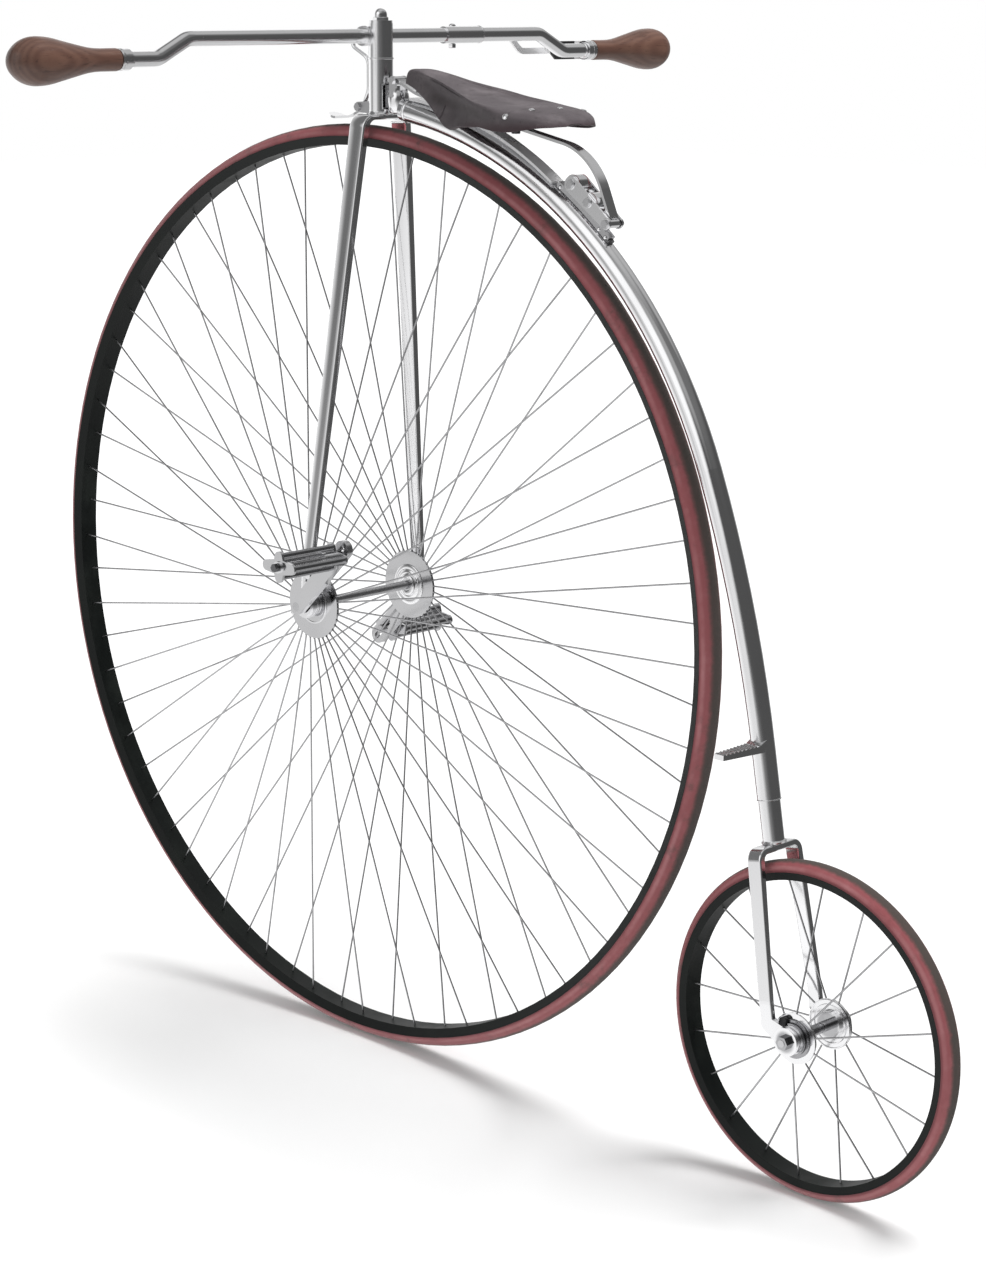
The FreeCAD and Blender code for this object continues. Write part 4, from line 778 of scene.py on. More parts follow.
def about_front_hub(angle: float, radius: float, y: float = 0.0) -> np.ndarray:
    """Point at an angle in degrees from +X and a radius about the front hub."""
    turn = math.radians(angle)
    return np.array([FRONT_HUB[0] + radius * math.cos(turn), y, FRONT_HUB[2] + radius * math.sin(turn)])


def flat_top(node: str) -> float:
    """Height of the largest level face of a CAD node."""
    mesh = frame["nodes"][node].data
    return max((face.area, face.center.z) for face in mesh.polygons if face.normal.z > 0.999)[1]


# ------------------------------------------------------------------ studio

@dataclass
class Camera:
    """The viewing angle: rear left of the bicycle, a little above its middle."""

    place: Point = (-2.1154, 2.1922, 0.1148)
    yaw: float = -0.79755
    pitch: float = -0.228437
    roll: float = 0.0048043
    focal: float = 79.747
    film: float = 36.0

    def build(self) -> None:
        """Make the camera and give it to the scene.

        The view direction is (cos pitch cos yaw, cos pitch sin yaw, sin pitch), rolled about itself.
        """
        ahead = Vector((math.cos(self.pitch) * math.cos(self.yaw),
                        math.cos(self.pitch) * math.sin(self.yaw), math.sin(self.pitch)))
        right = ahead.cross(Vector((0, 0, 1))).normalized()
        up = right.cross(ahead)
        cos_roll, sin_roll = math.cos(self.roll), math.sin(self.roll)
        right, up = right * cos_roll + up * sin_roll, up * cos_roll - right * sin_roll
        data = bpy.data.cameras.new("camera")
        data.sensor_fit = "AUTO"
        data.sensor_width = self.film
        data.lens = self.focal
        data.clip_start = 0.05
        data.clip_end = 60.0
        made = placed("camera", data)
        turn = Matrix((right, up, -ahead)).transposed().to_4x4()
        made.matrix_world = Matrix.Translation(self.place) @ turn
        bpy.context.scene.camera = made


@dataclass
class Studio:
    """White floor and surround, dim behind the viewer, with broad soft lamps."""

    floor_z: float = -1.111
    floor_half: float = 14.0
    surround: float = 0.43      # level that lights the object
    white: float = 1.0
    room: float = 0.17          # level of the dim walls in reflections
    boxes: Sequence[tuple[float, float, float, float, float]] = (
        # azimuth, height, inner and outer half angle in degrees, and level
        (84.0, 26.0, 16.0, 39.0, 1.15),
        (78.0, -10.0, 14.0, 34.0, 0.85),
        (350.0, -10.0, 24.0, 58.0, 1.15),
        (272.0, 48.0, 14.0, 36.0, 0.50),
        (314.0, 24.0, 6.0, 20.0, 1.0),
        (0.0, 90.0, 12.0, 44.0, 0.55),
        (134.0, 44.0, 8.0, 30.0, 0.40),
        (298.0, 0.0, 8.0, 44.0, 0.42),
    )
    dark: float = 0.50          # what the shade behind the viewer leaves
    lamps: Sequence[tuple[str, Point, Point, float, float]] = (
        # name, place, aim, side length, power
        ("overhead", (-1.0, -0.8, 2.4), (-0.1, 0.0, -0.9), 1.7, 120.0),
        ("left_box", (-1.6, 3.2, 0.6), (-0.1, 0.0, -0.4), 1.5, 16.0),
    )
    floor_paint: float = 0.92
    floor_glow: float = 1.22
    # the oval where the floor keeps its shadows: middle, squeeze along x and y, and where it fades out
    shadow_middle: tuple[float, float] = (-0.05, 0.08)
    shadow_squeeze: tuple[float, float] = (0.9, 4.0)
    shadow_fade: tuple[float, float] = (0.10, 0.75)
    shadow_glow: float = 0.05               # share of glow inside it
    bright_side: Point = (0.7071, 0.7071, 0.0)
    dark_side: Point = (-0.985, -0.174, 0.0)
    ground: tuple[float, float] = (1.15, 0.65)      # level of the ground on the bright side, and steeply below

    def build(self) -> None:
        """Make the floor, the surround and the lamps."""
        self._floor()
        self._world()
        for name, place, aim, side, power in self.lamps:
            self._lamp(name, place, aim, side, power)

    def _floor(self) -> None:
        """Plain pale floor that keeps its shadows near the object and fades to white about them."""
        half = self.floor_half
        mesh = bpy.data.meshes.new("floor")
        corners = [(-half, -half, self.floor_z), (half, -half, self.floor_z),
                   (half, half, self.floor_z), (-half, half, self.floor_z)]
        mesh.from_pydata(corners, [], [(0, 1, 2, 3)])
        floor = placed("floor", mesh)
        material = bpy.data.materials.new("floor_white")
        graph = Graph(material)
        path = graph.node("ShaderNodeLightPath", output="Is Camera Ray")
        x, y, _ = graph.axes()
        along, over = self.shadow_squeeze
        far = along * (x - self.shadow_middle[0]) ** 2 + over * (y - self.shadow_middle[1]) ** 2
        glowing = self.shadow_glow + (1 - self.shadow_glow) * far.step(*self.shadow_fade)
        paint = graph.node("ShaderNodeBsdfDiffuse", {}, {"Color": (*(self.floor_paint,) * 3, 1)})
        glow = graph.node("ShaderNodeEmission", {}, {"Color": (1, 1, 1, 1), "Strength": self.floor_glow})
        mixed = graph.node("ShaderNodeMixShader", {}, {0: path * glowing, 1: paint, 2: glow})
        graph.node("ShaderNodeOutputMaterial", {}, {"Surface": mixed})
        mesh.materials.append(material)
        floor.visible_glossy = False

    def _world(self) -> None:
        """White where the camera looks; reflections see white ahead and a dim room behind the viewer."""
        world = bpy.data.worlds.new("surround")
        bpy.context.scene.world = world
        graph = Graph(world)
        path = graph.node("ShaderNodeLightPath")
        outputs = path.socket.node.outputs
        camera = Wire(graph, outputs["Is Camera Ray"])
        glossy = Wire(graph, outputs["Is Glossy Ray"])
        passing = Wire(graph, outputs["Is Transmission Ray"])
        seen = self._reflected(graph)
        lighting = graph.blend(glossy, (self.surround,) * 3, seen)
        colour = graph.blend(camera.largest(passing), lighting, (self.white,) * 3)
        back = graph.node("ShaderNodeBackground", {}, {"Color": colour, "Strength": 1.0})
        graph.node("ShaderNodeOutputWorld", {}, {"Surface": back})

    def _reflected(self, graph: Graph) -> Wire:
        """What bright metal sees: pale boxes and pale ground round a dim room, darkest behind the viewer.

        The level is the largest of the lobes, the ground and the room. The ground counts below the horizon, and
        less at the back unless it is steeply below. The shade is a band about the horizon.
        """
        towards = graph.node("ShaderNodeTexCoord", output="Generated")
        _, _, up = graph.axes(towards)
        level = self._lobe(graph, towards, *self.boxes[0])
        for box in self.boxes[1:]:
            level = level.largest(self._lobe(graph, towards, *box))
        ahead = self._dot(graph, towards, self.bright_side).step(-1.0, 0.35)
        ground = (up.step(0.20, -0.44) * ahead * self.ground[0]).largest(up.step(-0.34, -0.62) * self.ground[1])
        behind = self._dot(graph, towards, self.dark_side).step(0.05, 0.40)
        shade = behind * up.step(-0.52, -0.32) * up.step(0.62, 0.36)
        return level.largest(ground).largest(self.room) * (1 - shade * (1 - self.dark))

    @staticmethod
    def _dot(graph: Graph, towards: Wire, direction: Point) -> Wire:
        """Cosine of the angle between two directions."""
        return graph.node("ShaderNodeVectorMath", {"operation": "DOT_PRODUCT"}, {0: towards, 1: direction},
                          "Value")

    def _lobe(self, graph: Graph, towards: Wire, azimuth: float, height: float, inner: float, outer: float,
              level: float) -> Wire:
        """Level times 1 inside the inner angle about a direction, falling to 0 at the outer one."""
        turn, lift = math.radians(azimuth), math.radians(height)
        middle = (math.cos(lift) * math.cos(turn), math.cos(lift) * math.sin(turn), math.sin(lift))
        edge, core = (math.cos(math.radians(angle)) for angle in (outer, inner))
        return self._dot(graph, towards, middle).step(edge, core) * level

    @staticmethod
    def _lamp(name: str, place: Point, aim: Point, side: float, power: float) -> None:
        """Square area lamp that faces a point."""
        data = bpy.data.lights.new(name, "AREA")
        data.shape = "SQUARE"
        data.size = side
        data.energy = power
        lamp = placed(name, data)
        lamp.visible_glossy = False
        lamp.location = place
        lamp.rotation_euler = (Vector(aim) - Vector(place)).to_track_quat("-Z", "Y").to_euler()


# ------------------------------------------------------------------ sub-assemblies

@dataclass
class SaddleCover:
    """The leather: a dished top between two ridges, side flaps laced at a slit, and a lipped tail."""

    # x; then the half widths and heights of the middle, fold, ridge, valley and hem, in millimetres
    stations: Sequence[tuple[float, ...]] = (
        (150.5, 0, 11.0, 4, 11.0, 7, 11.0, 8, 9.0, 9, 6.0),
        (149.0, 0, 17.0, 6, 17.0, 9, 15.5, 11, 11.0, 12, 5.0),
        (143.0, 0, 20.6, 8, 20.4, 12, 18.0, 14, 13.0, 15, 4.5),
        (128.0, 0, 20.8, 10, 20.8, 14, 18.6, 15, 13.0, 18, 0.0),
        (112.0, 0, 17.2, 14, 17.2, 18, 15.6, 17, 9.0, 23, -7.0),
        (100.0, 0, 13.0, 17, 13.2, 21, 13.0, 20, 4.0, 27, -13.0),
        (87.0, 0, 9.0, 19, 9.2, 24, 9.8, 22.5, -3.5, 32, -20.0),
        (73.0, 0, 5.4, 22, 5.4, 28, 6.4, 25.5, -8.5, 37, -28.5),
        (58.0, 0, 1.4, 26, 1.2, 33, 2.4, 29.5, -13.0, 42, -37.0),
        (45.0, 0, -1.6, 30, -2.2, 38, -0.6, 34.0, -17.5, 46, -38.0),
        (29.0, 0, -5.2, 35, -5.4, 44, -4.0, 42.0, -20.5, 50, -34.0),
        (2.0, 0, -9.4, 41, -10.6, 53, -9.6, 54, -22.5, 56, -33.5),
        (-26.0, 0, -11.6, 44, -13.2, 59, -15.4, 62, -25.5, 63, -36.0),
        (-45.0, 0, -12.8, 44, -14.8, 59, -18.4, 63, -27.0, 64, -36.8),
        (-59.0, 0, -14.4, 41, -16.4, 55, -21.0, 59, -28.0, 60.5, -36.0),
        (-71.0, 0, -16.6, 36, -18.6, 48, -23.2, 51.5, -28.6, 53, -34.4),
        (-81.0, 0, -19.8, 28, -21.6, 37.5, -25.4, 40.5, -28.8, 42, -32.8),
        (-88.0, 0, -24.0, 18, -25.2, 24.5, -27.8, 27.0, -29.8, 28.5, -31.6),
        (-91.5, 0, -28.6, 6, -28.9, 9, -29.6, 11, -30.2, 12, -30.9),
    )
    thick: float = 0.0032
    rows: int = 171
    columns: int = 97
    strip_line: Sequence[Point] = ((151.0, 0, 13.2), (133.0, 0, 13.0), (112.0, 0, 9.0), (60.0, 0, -12.0),
                                   (9.0, 0, -28.9), (-21.0, 0, -34.9), (-50.0, 0, -29.0), (-72.0, 0, -25.6))
    plate_line: Sequence[Point] = ((-48.0, 0, -20.6), (-60.0, 0, -22.2), (-72.0, 0, -24.4), (-77.0, 0, -25.6))
    slit_x: float = 0.0715
    slit_out: float = 0.0285        # the slit starts this far from the middle
    slit_below: float = -0.0065     # and below this height
    rivets: Profile = ((-49.0, 60.0), (-58.0, 30.0), (-60.0, -9.0), (-58.0, -48.0))
    rivet: Knob = (0.0034, 0.0014)
    ripple: tuple[float, float, float] = (95.0, 70.0, 0.0006)      # radians a metre along x and y, and height
    under: float = -0.030           # the cover's top is above this
    strip_half: float = 0.007
    plate_half: float = 0.033
    iron_half: float = 0.00125      # half the thickness of both
    bolt: Point = (-0.006, -0.0302, -0.0364)        # x, foot of its head and top of its nut
    bolt_head: Knob = (0.0040, 0.0026)
    bolt_nut: Knob = (0.0085, 0.0060)

    def _controls(self) -> np.ndarray:
        """Stations as a (stations, 9, 3) array, right hem to left hem, in metres."""
        rows = np.asarray(self.stations, float) / 1000
        half = rows[:, 1:].reshape(len(rows), 5, 2)
        x = np.repeat(rows[:, :1], 5, axis=1)
        left = np.stack([x, half[..., 0], half[..., 1]], axis=-1)
        right = left[:, :0:-1] * (1, -1, 1)
        return np.concatenate([right, left], axis=1)

    def surface(self, along: np.ndarray, over: np.ndarray) -> np.ndarray:
        """Points of the cover: smooth curves through the stations and through each station's places.

        Args:
            along: places from 0 at the nose to the last station at the tail.
            over: places from 0 at the right hem to 8 at the left hem.

        Returns:
            An (along, over, 3) array.
        """
        controls = self._controls()
        lengthwise = through(len(controls), along)
        crosswise = through(controls.shape[1], over)
        points = np.einsum("ui,ijk,vj->uvk", lengthwise, controls, crosswise)
        along_x, along_y, height = self.ripple
        points[..., 2] += np.sin(points[..., 0] * along_x) * np.sin(points[..., 1] * along_y + 1.0) * height
        return points

    def build(self) -> None:
        """Make the cover in place of its CAD solid, its strip and its rivets."""
        grid = self.surface(np.linspace(0, len(self.stations) - 1, self.rows), np.linspace(0, 8, self.columns))
        cover = self._slit(Shell.sheet(grid)).piece("saddle_cover", Body.FRAME, Hide(), sharp=75)
        skin = cover.modifiers.new("thickness", "SOLIDIFY")
        skin.thickness = self.thick
        skin.offset = -1.0
        self._face_up(cover)
        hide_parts("saddle_leather")
        self._strip()
        heads = joined(dome(*self._on_top(grid, place), self.rivet) for place in self.rivets)
        heads.piece("saddle_rivets", Body.FRAME, Plate())

    def _slit(self, shell: Shell) -> Shell:
        """The shell without the faces on the slits' lines: those whose middle is near slit_x in each flap."""
        corners = shell.vertices[shell.faces]
        middle, span = corners.mean(axis=1), np.ptp(corners[..., 0], axis=1)
        cut = ((np.abs(middle[:, 0] - self.slit_x) < 0.55 * span) & (np.abs(middle[:, 1]) > self.slit_out)
               & (middle[:, 2] < self.slit_below))
        return Shell(shell.vertices, shell.faces[~cut])

    def _strip(self) -> None:
        """Steel strip from the nose to the tail, its plate under the tail and the bolt on the spring."""
        strip = carried(self._smooth(self.strip_line, 61), oval(self.strip_half, self.iron_half, 16, 6.0))
        narrowing = np.interp(np.linspace(0, 1, 13), (0, 0.4, 1), (1, 1, 0.72))
        plate = carried(self._smooth(self.plate_line, 13), oval(self.plate_half, self.iron_half, 32, 8.0),
                        narrowing)
        x, head_z, nut_z = self.bolt
        bolt = dome((x, 0, head_z), UP, self.bolt_head)
        under = nut((x, 0, nut_z), DOWN, self.bolt_nut)
        made = (strip + plate + bolt + under).piece("saddle_strip", Body.FRAME, DullIron(), sharp=30)
        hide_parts("saddle_frame")

    @staticmethod
    def _smooth(line: Sequence[Point], count: int) -> np.ndarray:
        """Points on the smooth curve through a line given in millimetres."""
        return through(len(line), np.linspace(0, len(line) - 1, count)) @ mm(*line)

    @staticmethod
    def _face_up(cover: bpy.types.Object) -> None:
        """Turn the open sheet's faces so that the top looks up."""
        mesh = cover.data
        highest = max(mesh.polygons, key=lambda face: face.center.z)
        if highest.normal.z < 0:
            mesh.flip_normals()

    def _on_top(self, grid: np.ndarray, place: tuple[float, float]) -> tuple[np.ndarray, np.ndarray]:
        """Point of the cover nearest in plan to a place in millimetres, and the way the surface faces there."""
        gap = (grid[..., 0] * 1000 - place[0]) ** 2 + (grid[..., 1] * 1000 - place[1]) ** 2
        gap = np.where(grid[..., 2] < self.under, np.inf, gap)
        i, j = np.unravel_index(np.argmin(gap), gap.shape)
        out = np.cross(grid[i + 1, j] - grid[i - 1, j], grid[i, j + 1] - grid[i, j - 1])
        out /= np.linalg.norm(out) * (1 if out[2] > 0 else -1)
        return grid[i, j], out


@dataclass
class FrontHub:
    """Rings and spoke seats of the front wheel's hub."""

    flange_mid: float = 0.0756
    flange_radius: float = 0.040
    spokes: int = 36
    phases: Sequence[float] = (0.0, 5.0)
    # radius and distance from the flange's middle, in millimetres
    boss: Profile = (
        (24.2, 1.2), (23.8, 2.3), (22.4, 2.9), (19.6, 3.1), (18.4, 2.7), (17.6, 3.3), (16.2, 4.1), (14.2, 4.3),
        (13.0, 3.7), (12.2, 5.3), (10.6, 6.1), (8.6, 5.9), (7.8, 5.1), (7.8, 1.2))
    lip: Profile = ((21.2, 1.3), (21.2, 2.4), (23.0, 2.4), (23.0, 1.3))
    seat: Profile = ((0, 0), (1.4, 0), (1.5, 1.4), (1.0, 3.0), (0, 3.0))
    seat_depth: float = 0.0012      # of its root below the flange's edge

    def build(self) -> None:
        """Make the stepped bosses and lips, and the seats where the spokes leave the flanges' edges."""
        rings = joined(self._ring(side, face) for side in (1, -1) for face in (1, -1))
        rings.piece("hub_rings", Body.FRONT_WHEEL, Plate(), bevel=0.0002)
        seats = joined(self._seat(side, phase + number * 360 / self.spokes)
                       for side, phase in zip((1, -1), self.phases) for number in range(self.spokes))
        seats.piece("spoke_seats", Body.FRONT_WHEEL, DrawnSteel("seat", colour=SMOKY))

    def _ring(self, side: int, face: int) -> Shell:
        """Boss on a flange's inner face or lip on its outer face."""
        profile = self.boss if side * face < 0 else self.lip
        middle = (FRONT_HUB[0], side * self.flange_mid, FRONT_HUB[2])
        return turned(mm(*profile), middle, (0, face, 0), 64, ring=True)

    def _seat(self, side: int, angle: float) -> Shell:
        """Short stub at one spoke's root, pointing along the spoke."""
        out = np.array((math.cos(math.radians(angle)), 0.0, math.sin(math.radians(angle))))
        root = np.asarray(FRONT_HUB) + out * (self.flange_radius - self.seat_depth)
        return turned(mm(*self.seat), root + (0, side * self.flange_mid, 0), out, 7)


@dataclass
class RearHub:
    """Concentric rings on the rear hub's flanges and cups, and the dark clamps above the fork's feet."""

    flange_in: float = 0.02825
    inner_rings: Sequence[tuple[float, float, float]] = (
        # outer radius, inner radius and height of each ring on a flange's inner face
        (0.0268, 0.0247, 0.0010), (0.0218, 0.0196, 0.0013), (0.0150, 0.0122, 0.0020), (0.0098, 0.0056, 0.0034))
    cup_rings: Profile = ((0.0312, 0.0205), (0.0333, 0.0172))       # place and radius
    cup_bore: float = 0.0140
    cup_thick: float = 0.0016
    clamp: Point = (-0.4250, 0.0309, -0.9140)
    clamp_barrel: Profile = ((0, 0), (4.0, 0), (4.6, 0.6), (4.6, 5.6), (3.4, 6.2), (0, 6.2))

    def build(self) -> None:
        """Make the rings and the clamps."""
        x, _, z = REAR_HUB
        rings = joined(self._inner(*ring).both() for ring in self.inner_rings)
        rings.piece("rear_hub_rings", Body.REAR_WHEEL, Plate())
        cups = joined(washer((x, place, z), LEFT, (radius, self.cup_bore, self.cup_thick), 48).both()
                      for place, radius in self.cup_rings)
        # painted shade: the cup rings take the darker shaded copy of nickel
        cups.piece("rear_cup_rings", Body.REAR_WHEEL, replace(DARKER_SHADED_NICKEL, label="cup"))
        clamps = turned(mm(*self.clamp_barrel), self.clamp, LEFT, 24).both()
        clamps.piece("rear_foot_clamps", Body.FRAME, DullIron("clamp", colour=(0.05, 0.05, 0.052)), sharp=30)

    def _inner(self, outer: float, inner: float, tall: float) -> Shell:
        """One sloped ring on the left flange's inner face."""
        profile = [(inner, -0.0002), (inner + 0.0003, tall), (outer - 0.0007, tall), (outer, -0.0002)]
        return turned(profile, (REAR_HUB[0], self.flange_in, REAR_HUB[2]), (0, -1, 0), 64, ring=True)


@dataclass
class Head:
    """Rings and nut base of the steering head, rings on the bar, and the brake lever's bolt."""

    axis_x: float = 0.201
    column_top: float = 0.031
    column_foot: float = -0.029
    cap_foot: float = 0.0718
    foot_flare: Profile = ((12.5, 0), (16.1, 0), (14.9, 1.0), (13.9, 3.0), (12.5, 3.6))
    # y and radius of the rounded rings about the bar
    beads: Profile = ((0.0148, 0.0105), (0.0122, 0.0105), (-0.0148, 0.0105), (-0.0122, 0.0105),
                      (-0.1658, 0.0095))
    pivot_y: float = -0.138
    pivot_in: float = 0.0060        # behind the bracket's front
    pivot_head: Knob = (0.0042, 0.0028)
    pivot_nut: Knob = (0.0080, 0.0048)
    joint_ring: Ring = (0.0144, 0.0125, 0.0018)
    joint_below: float = 0.0008     # the column's top
    cap_base: Knob = (0.0150, 0.0040)

    def build(self) -> None:
        """Make the rings and fixings that turn with the fork."""
        joint = washer((self.axis_x, 0, self.column_top - self.joint_below), UP, self.joint_ring, 48)
        foot = turned(mm(*self.foot_flare), (self.axis_x, 0, self.column_foot), UP, 48, ring=True)
        (joint + foot).piece("head_rings", Body.FORK, Plate())
        base = nut((self.axis_x, 0, self.cap_foot), UP, self.cap_base, 0.3)
        base.piece("cap_nut_base", Body.FORK, Plate(), sharp=25, bevel=0.0003)
        joined(self._bead(*bead) for bead in self.beads).piece("collar_rings", Body.FORK, Plate())
        self._lever_fixings()

    @staticmethod
    def _bead(y: float, radius: float) -> Shell:
        """Thin rounded ring about the bar."""
        profile = mm((-0.8, -0.6), (0.3, -0.5), (0.5, 0), (0.3, 0.5), (-0.8, 0.6)) + (radius, 0)
        return turned(profile, (BAR[0], y, BAR[2]), LEFT, 40, ring=True)

    def _lever_fixings(self) -> None:
        """Bolt head above and nut below the brake lever's pivot."""
        low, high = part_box("brake_bracket")
        x = float(high[0]) - self.pivot_in
        head = dome((x, self.pivot_y, float(high[2])), UP, self.pivot_head)
        under = nut((x, self.pivot_y, float(low[2])), DOWN, self.pivot_nut, 0.2)
        (head + under).piece("lever_fixings", Body.FORK, Plate(), sharp=28)


@dataclass
class GripTrim:
    """Two rings on each grip's ferrule."""

    grip_z: float = 0.035
    large_from: float = 0.350
    small_from: float = 0.340
    large: Profile = ((10.0, 0), (11.2, 0.4), (11.4, 1.4), (11.4, 3.2), (11.1, 4.2), (10.0, 4.4))
    small: Profile = ((7.5, 0), (9.2, 0.3), (9.6, 1.6), (9.6, 3.0), (7.5, 3.4))

    def build(self) -> None:
        """Make the rings of both ferrules."""
        rings = joined(turned(mm(*profile), (BAR[0], start, self.grip_z), LEFT, 40, ring=True)
                       for profile, start in ((self.large, self.large_from), (self.small, self.small_from)))
        rings.both().piece("ferrule_rings", Body.FORK, Plate())


@dataclass
class SpringCarriage:
    """Red roller washers, the rail's studs and end foot, and washers on the side plates."""

    track: float = 0.5871       # radius of the rollers' and bolts' axes about the front hub
    roller_angles: Sequence[float] = (124.2, 127.1)
    bolt_angles: Sequence[float] = (124.2, 127.1, 130.3)
    plate_face: float = 0.0105
    roller_face: float = 0.0064
    roller_ring: Ring = (0.0102, 0.0072, 0.0010)
    bolt_ring: Ring = (0.0056, 0.0022, 0.0008)
    stud: Knob = (0.0024, 0.0022)
    stud_face: float = 0.0043
    stud_angles: Sequence[float] = (122.8, 129.6, 130.8)
    stud_radius: float = 0.5728
    foot_angles: tuple[float, float] = (130.9, 131.45)
    foot_lift: float = 0.0016
    foot_halves: tuple[float, float] = (0.0046, 0.0020)

    def build(self) -> None:
        """Make the carriage's small pieces."""
        washers = joined(washer(about_front_hub(angle, self.track, self.roller_face), LEFT, self.roller_ring,
                                40).both() for angle in self.roller_angles)
        washers.piece("roller_washers", Body.FRAME, TyreRubber("washer", hub=FRONT_HUB, radius=9.0))
        studs = joined(dome(about_front_hub(angle, self.stud_radius, self.stud_face), LEFT, self.stud).both()
                       for angle in self.stud_angles)
        studs.piece("rail_studs", Body.FRAME, Plate())
        path = np.stack([about_front_hub(angle, BEND_RADIUS + BACKBONE_RADIUS + self.foot_lift)
                         for angle in np.linspace(*self.foot_angles, 6)])
        foot = carried(path, oval(*self.foot_halves, 20, 4.0))
        foot.piece("rail_foot", Body.FRAME, DullIron("foot", colour=(0.16, 0.16, 0.165)), sharp=50)
        rings = joined(washer(about_front_hub(angle, self.track, self.plate_face), LEFT, self.bolt_ring).both()
                       for angle in self.bolt_angles)
        rings.piece("plate_washers", Body.FRAME, Plate())


@dataclass
class Tail:
    """Joint ring of the tail tube, weld bead of the rear crown, and the step's ridges."""

    rake: float = math.radians(10.0)
    crown: tuple[float, float] = (0.0113, 0.0020)   # its top's middle, ahead of and above the tube's end
    joint_above: float = 0.0465                     # from there up the tube
    joint_ring: Ring = (0.01285, 0.0105, 0.0012)
    bead: Profile = ((10.7, -1.2), (12.9, -0.8), (13.7, 0.8), (12.5, 2.2), (10.7, 2.6))
    bead_above: float = 0.0012
    ridges: int = 9
    ridge_ends: tuple[float, float] = (0.0205, 0.0670)
    step_reach: float = 0.070
    step_halves: tuple[float, float] = (0.0098, 0.0060)     # half widths at the root and the end
    ridge_share: float = 0.92                               # of the step's width

    def build(self) -> None:
        """Make the tail's details."""
        low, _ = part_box("backbone")
        down = np.array((-math.sin(self.rake), 0.0, -math.cos(self.rake)))
        crown = np.array((float(low[0]) + self.crown[0], 0.0, float(low[2]) + self.crown[1]))
        ring = washer(crown - down * self.joint_above, down, self.joint_ring, 48)
        bead = turned(mm(*self.bead), crown - down * self.bead_above, -down, 48, ring=True)
        (ring + bead).piece("tail_rings", Body.FRAME, Plate("weld", gloss=0.16, haze=0.25))
        self._step_ridges()

    def _step_ridges(self) -> None:
        """Cross ridges on the step's top: a low roof every few millimetres."""
        low, high = (np.asarray(corner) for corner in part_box("mounting_step"))
        middle_x = (low[0] + high[0]) / 2
        top = flat_top("mounting_step")
        roof = mm((-1.6, -0.2), (1.6, -0.2), (0.0, 1.1))
        ridges = []
        for y in np.linspace(*self.ridge_ends, self.ridges):
            reach = np.interp(y, (0.0, self.step_reach), self.step_halves) * self.ridge_share
            path = np.array([(middle_x + shift, y, top) for shift in (-reach, 0.0, reach)])
            ridges.append(carried(path, roof))
        joined(ridges).piece("step_ridges", Body.FRAME, Plate("ridge", gloss=0.2), sharp=20)


@dataclass
class NeckBell:
    """Rounded shroud of the neck's barrel and the collar where the backbone starts."""

    axis_x: float = 0.173
    profile: Profile = (
        (0.0, -27.6), (8.0, -27.6), (9.8, -26.2), (11.2, -21.5), (12.0, -16.0), (12.1, -11.0), (11.2, -6.0),
        (9.0, -3.0), (5.5, -2.2), (0.0, -2.2))
    collar_angle: float = 98.1
    collar_profile: Profile = ((11.5, 0), (12.9, 0.3), (13.3, 1.2), (13.3, 2.8), (12.9, 4.0), (11.5, 4.4))

    def build(self) -> None:
        """Make the shroud and the collar."""
        bell = turned(mm(*self.profile), (self.axis_x, 0, 0), UP, 48)
        turn = math.radians(self.collar_angle)
        collar = turned(mm(*self.collar_profile), about_front_hub(self.collar_angle, BEND_RADIUS),
                        (-math.sin(turn), 0.0, math.cos(turn)), 56, ring=True)
        (bell + collar).piece("neck_bell", Body.FRAME, Plate(), sharp=40)


@dataclass
class ForkFeet:
    """Small clamp bolts at the feet of the front fork."""

    foot_outer: float = 0.0905
    lifts: Sequence[float] = (0.021, 0.030)     # above the hub
    slant: float = 0.06                         # the blade's lean
    behind: float = 0.0006                      # the hub
    bolt: Knob = (0.0052, 0.0022)

    def build(self) -> None:
        """Make the bolts."""
        x, _, z = FRONT_HUB
        bolts = joined(nut((x - self.behind - lift * self.slant, side * self.foot_outer, z + lift),
                           (0, side, 0), self.bolt, 0.4) for side in (1, -1) for lift in self.lifts)
        bolts.piece("foot_bolts", Body.FORK, Plate(), sharp=25)


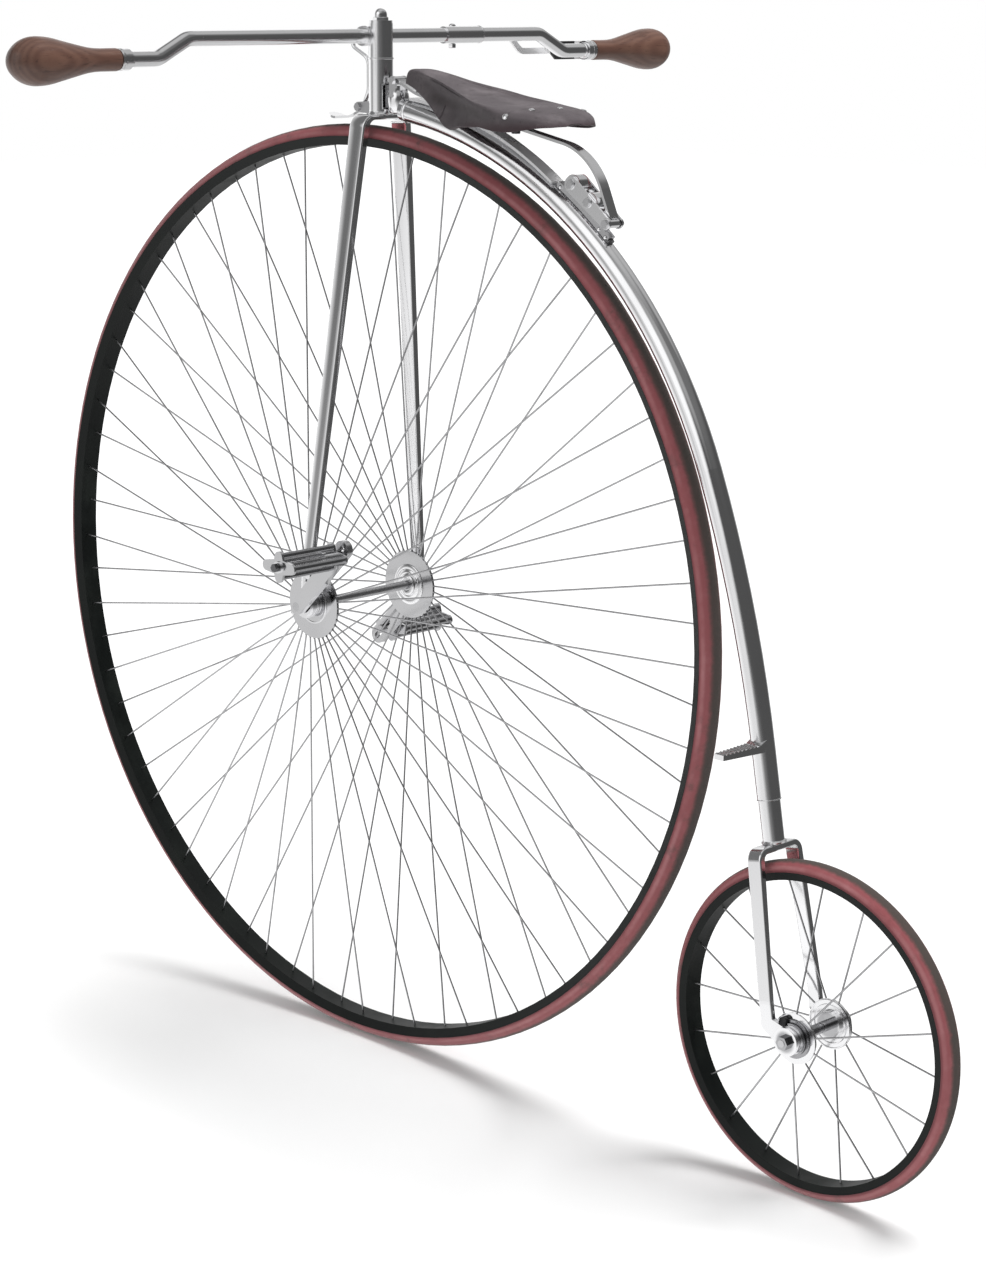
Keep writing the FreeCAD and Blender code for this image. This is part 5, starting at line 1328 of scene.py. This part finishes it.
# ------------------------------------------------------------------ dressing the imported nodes

@dataclass
class Dressing:
    """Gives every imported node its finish: the one for the node if there is one, or its material slot's."""

    front_radius: float = 0.535
    rear_radius: float = 0.180

    def finishes(self) -> dict[str, Finish]:
        """Finish for each slot and for each node that has its own."""
        return {
            "chrome": Plate(), "steel": DrawnSteel(), "black_enamel": Enamel(), "walnut": Walnut(),
            "saddle_hide": Hide(), "shadow_steel": DullIron(),
            "front_tyre": TyreRubber("front", hub=FRONT_HUB, radius=self.front_radius),
            "rear_tyre": TyreRubber("rear", hub=REAR_HUB, radius=self.rear_radius, crest=(0.0034, 0.0006),
                                    painted_highlight=0.0068, lip=0.0105),
            # the darker copies of nickel on flanges, cranks and pedals are painted shade
            "front_spokes": SPOKE, "rear_spokes": SPOKE, "front_fork": BladePlate(), "front_flanges": SHADED_NICKEL,
            "cranks": SHADED_NICKEL, "crank_bolts": SHADED_NICKEL, "left_pedal_plates": SHADED_NICKEL, "right_pedal_plates": SHADED_NICKEL,
            "left_pedal_bars": DARKER_SHADED_NICKEL, "right_pedal_bars": DARKER_SHADED_NICKEL, "pedal_pins": PinSteel(),
            # the rear axle nuts carry the same painted shade towards the axis
            "rear_axle_nuts": HubPlate("nut", barrel=0.0095), "rear_hub": HubPlate(),
            "saddle_spring_lower": Plate("satin", metal=0.45, gloss=0.22), "brake_lever": LeverPlate(),
        }

    def build(self) -> None:
        """Put the finishes on the nodes."""
        finishes = self.finishes()
        for part in frame["record"]["subparts"]:
            node = part["node"]
            finish = finishes.get(node) or finishes[part["material_slot"]]
            mesh = frame["nodes"][node].data
            mesh.materials.clear()
            mesh.materials.append(finish.material())
            LOG.info("%s dressed as %s", node, finish.slot)


def main() -> None:
    """Build the camera, the studio and each sub-assembly in order."""
    logging.basicConfig(level=logging.INFO, format="%(message)s")
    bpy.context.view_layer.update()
    bpy.context.scene.view_settings.view_transform = "Standard"
    Camera().build()
    Studio().build()
    Dressing().build()
    for assembly in (SaddleCover(), FrontHub(), RearHub(), Head(), GripTrim(), SpringCarriage(), Tail(),
                     NeckBell(), ForkFeet()):
        assembly.build()


if __name__ == "__main__":
    main()
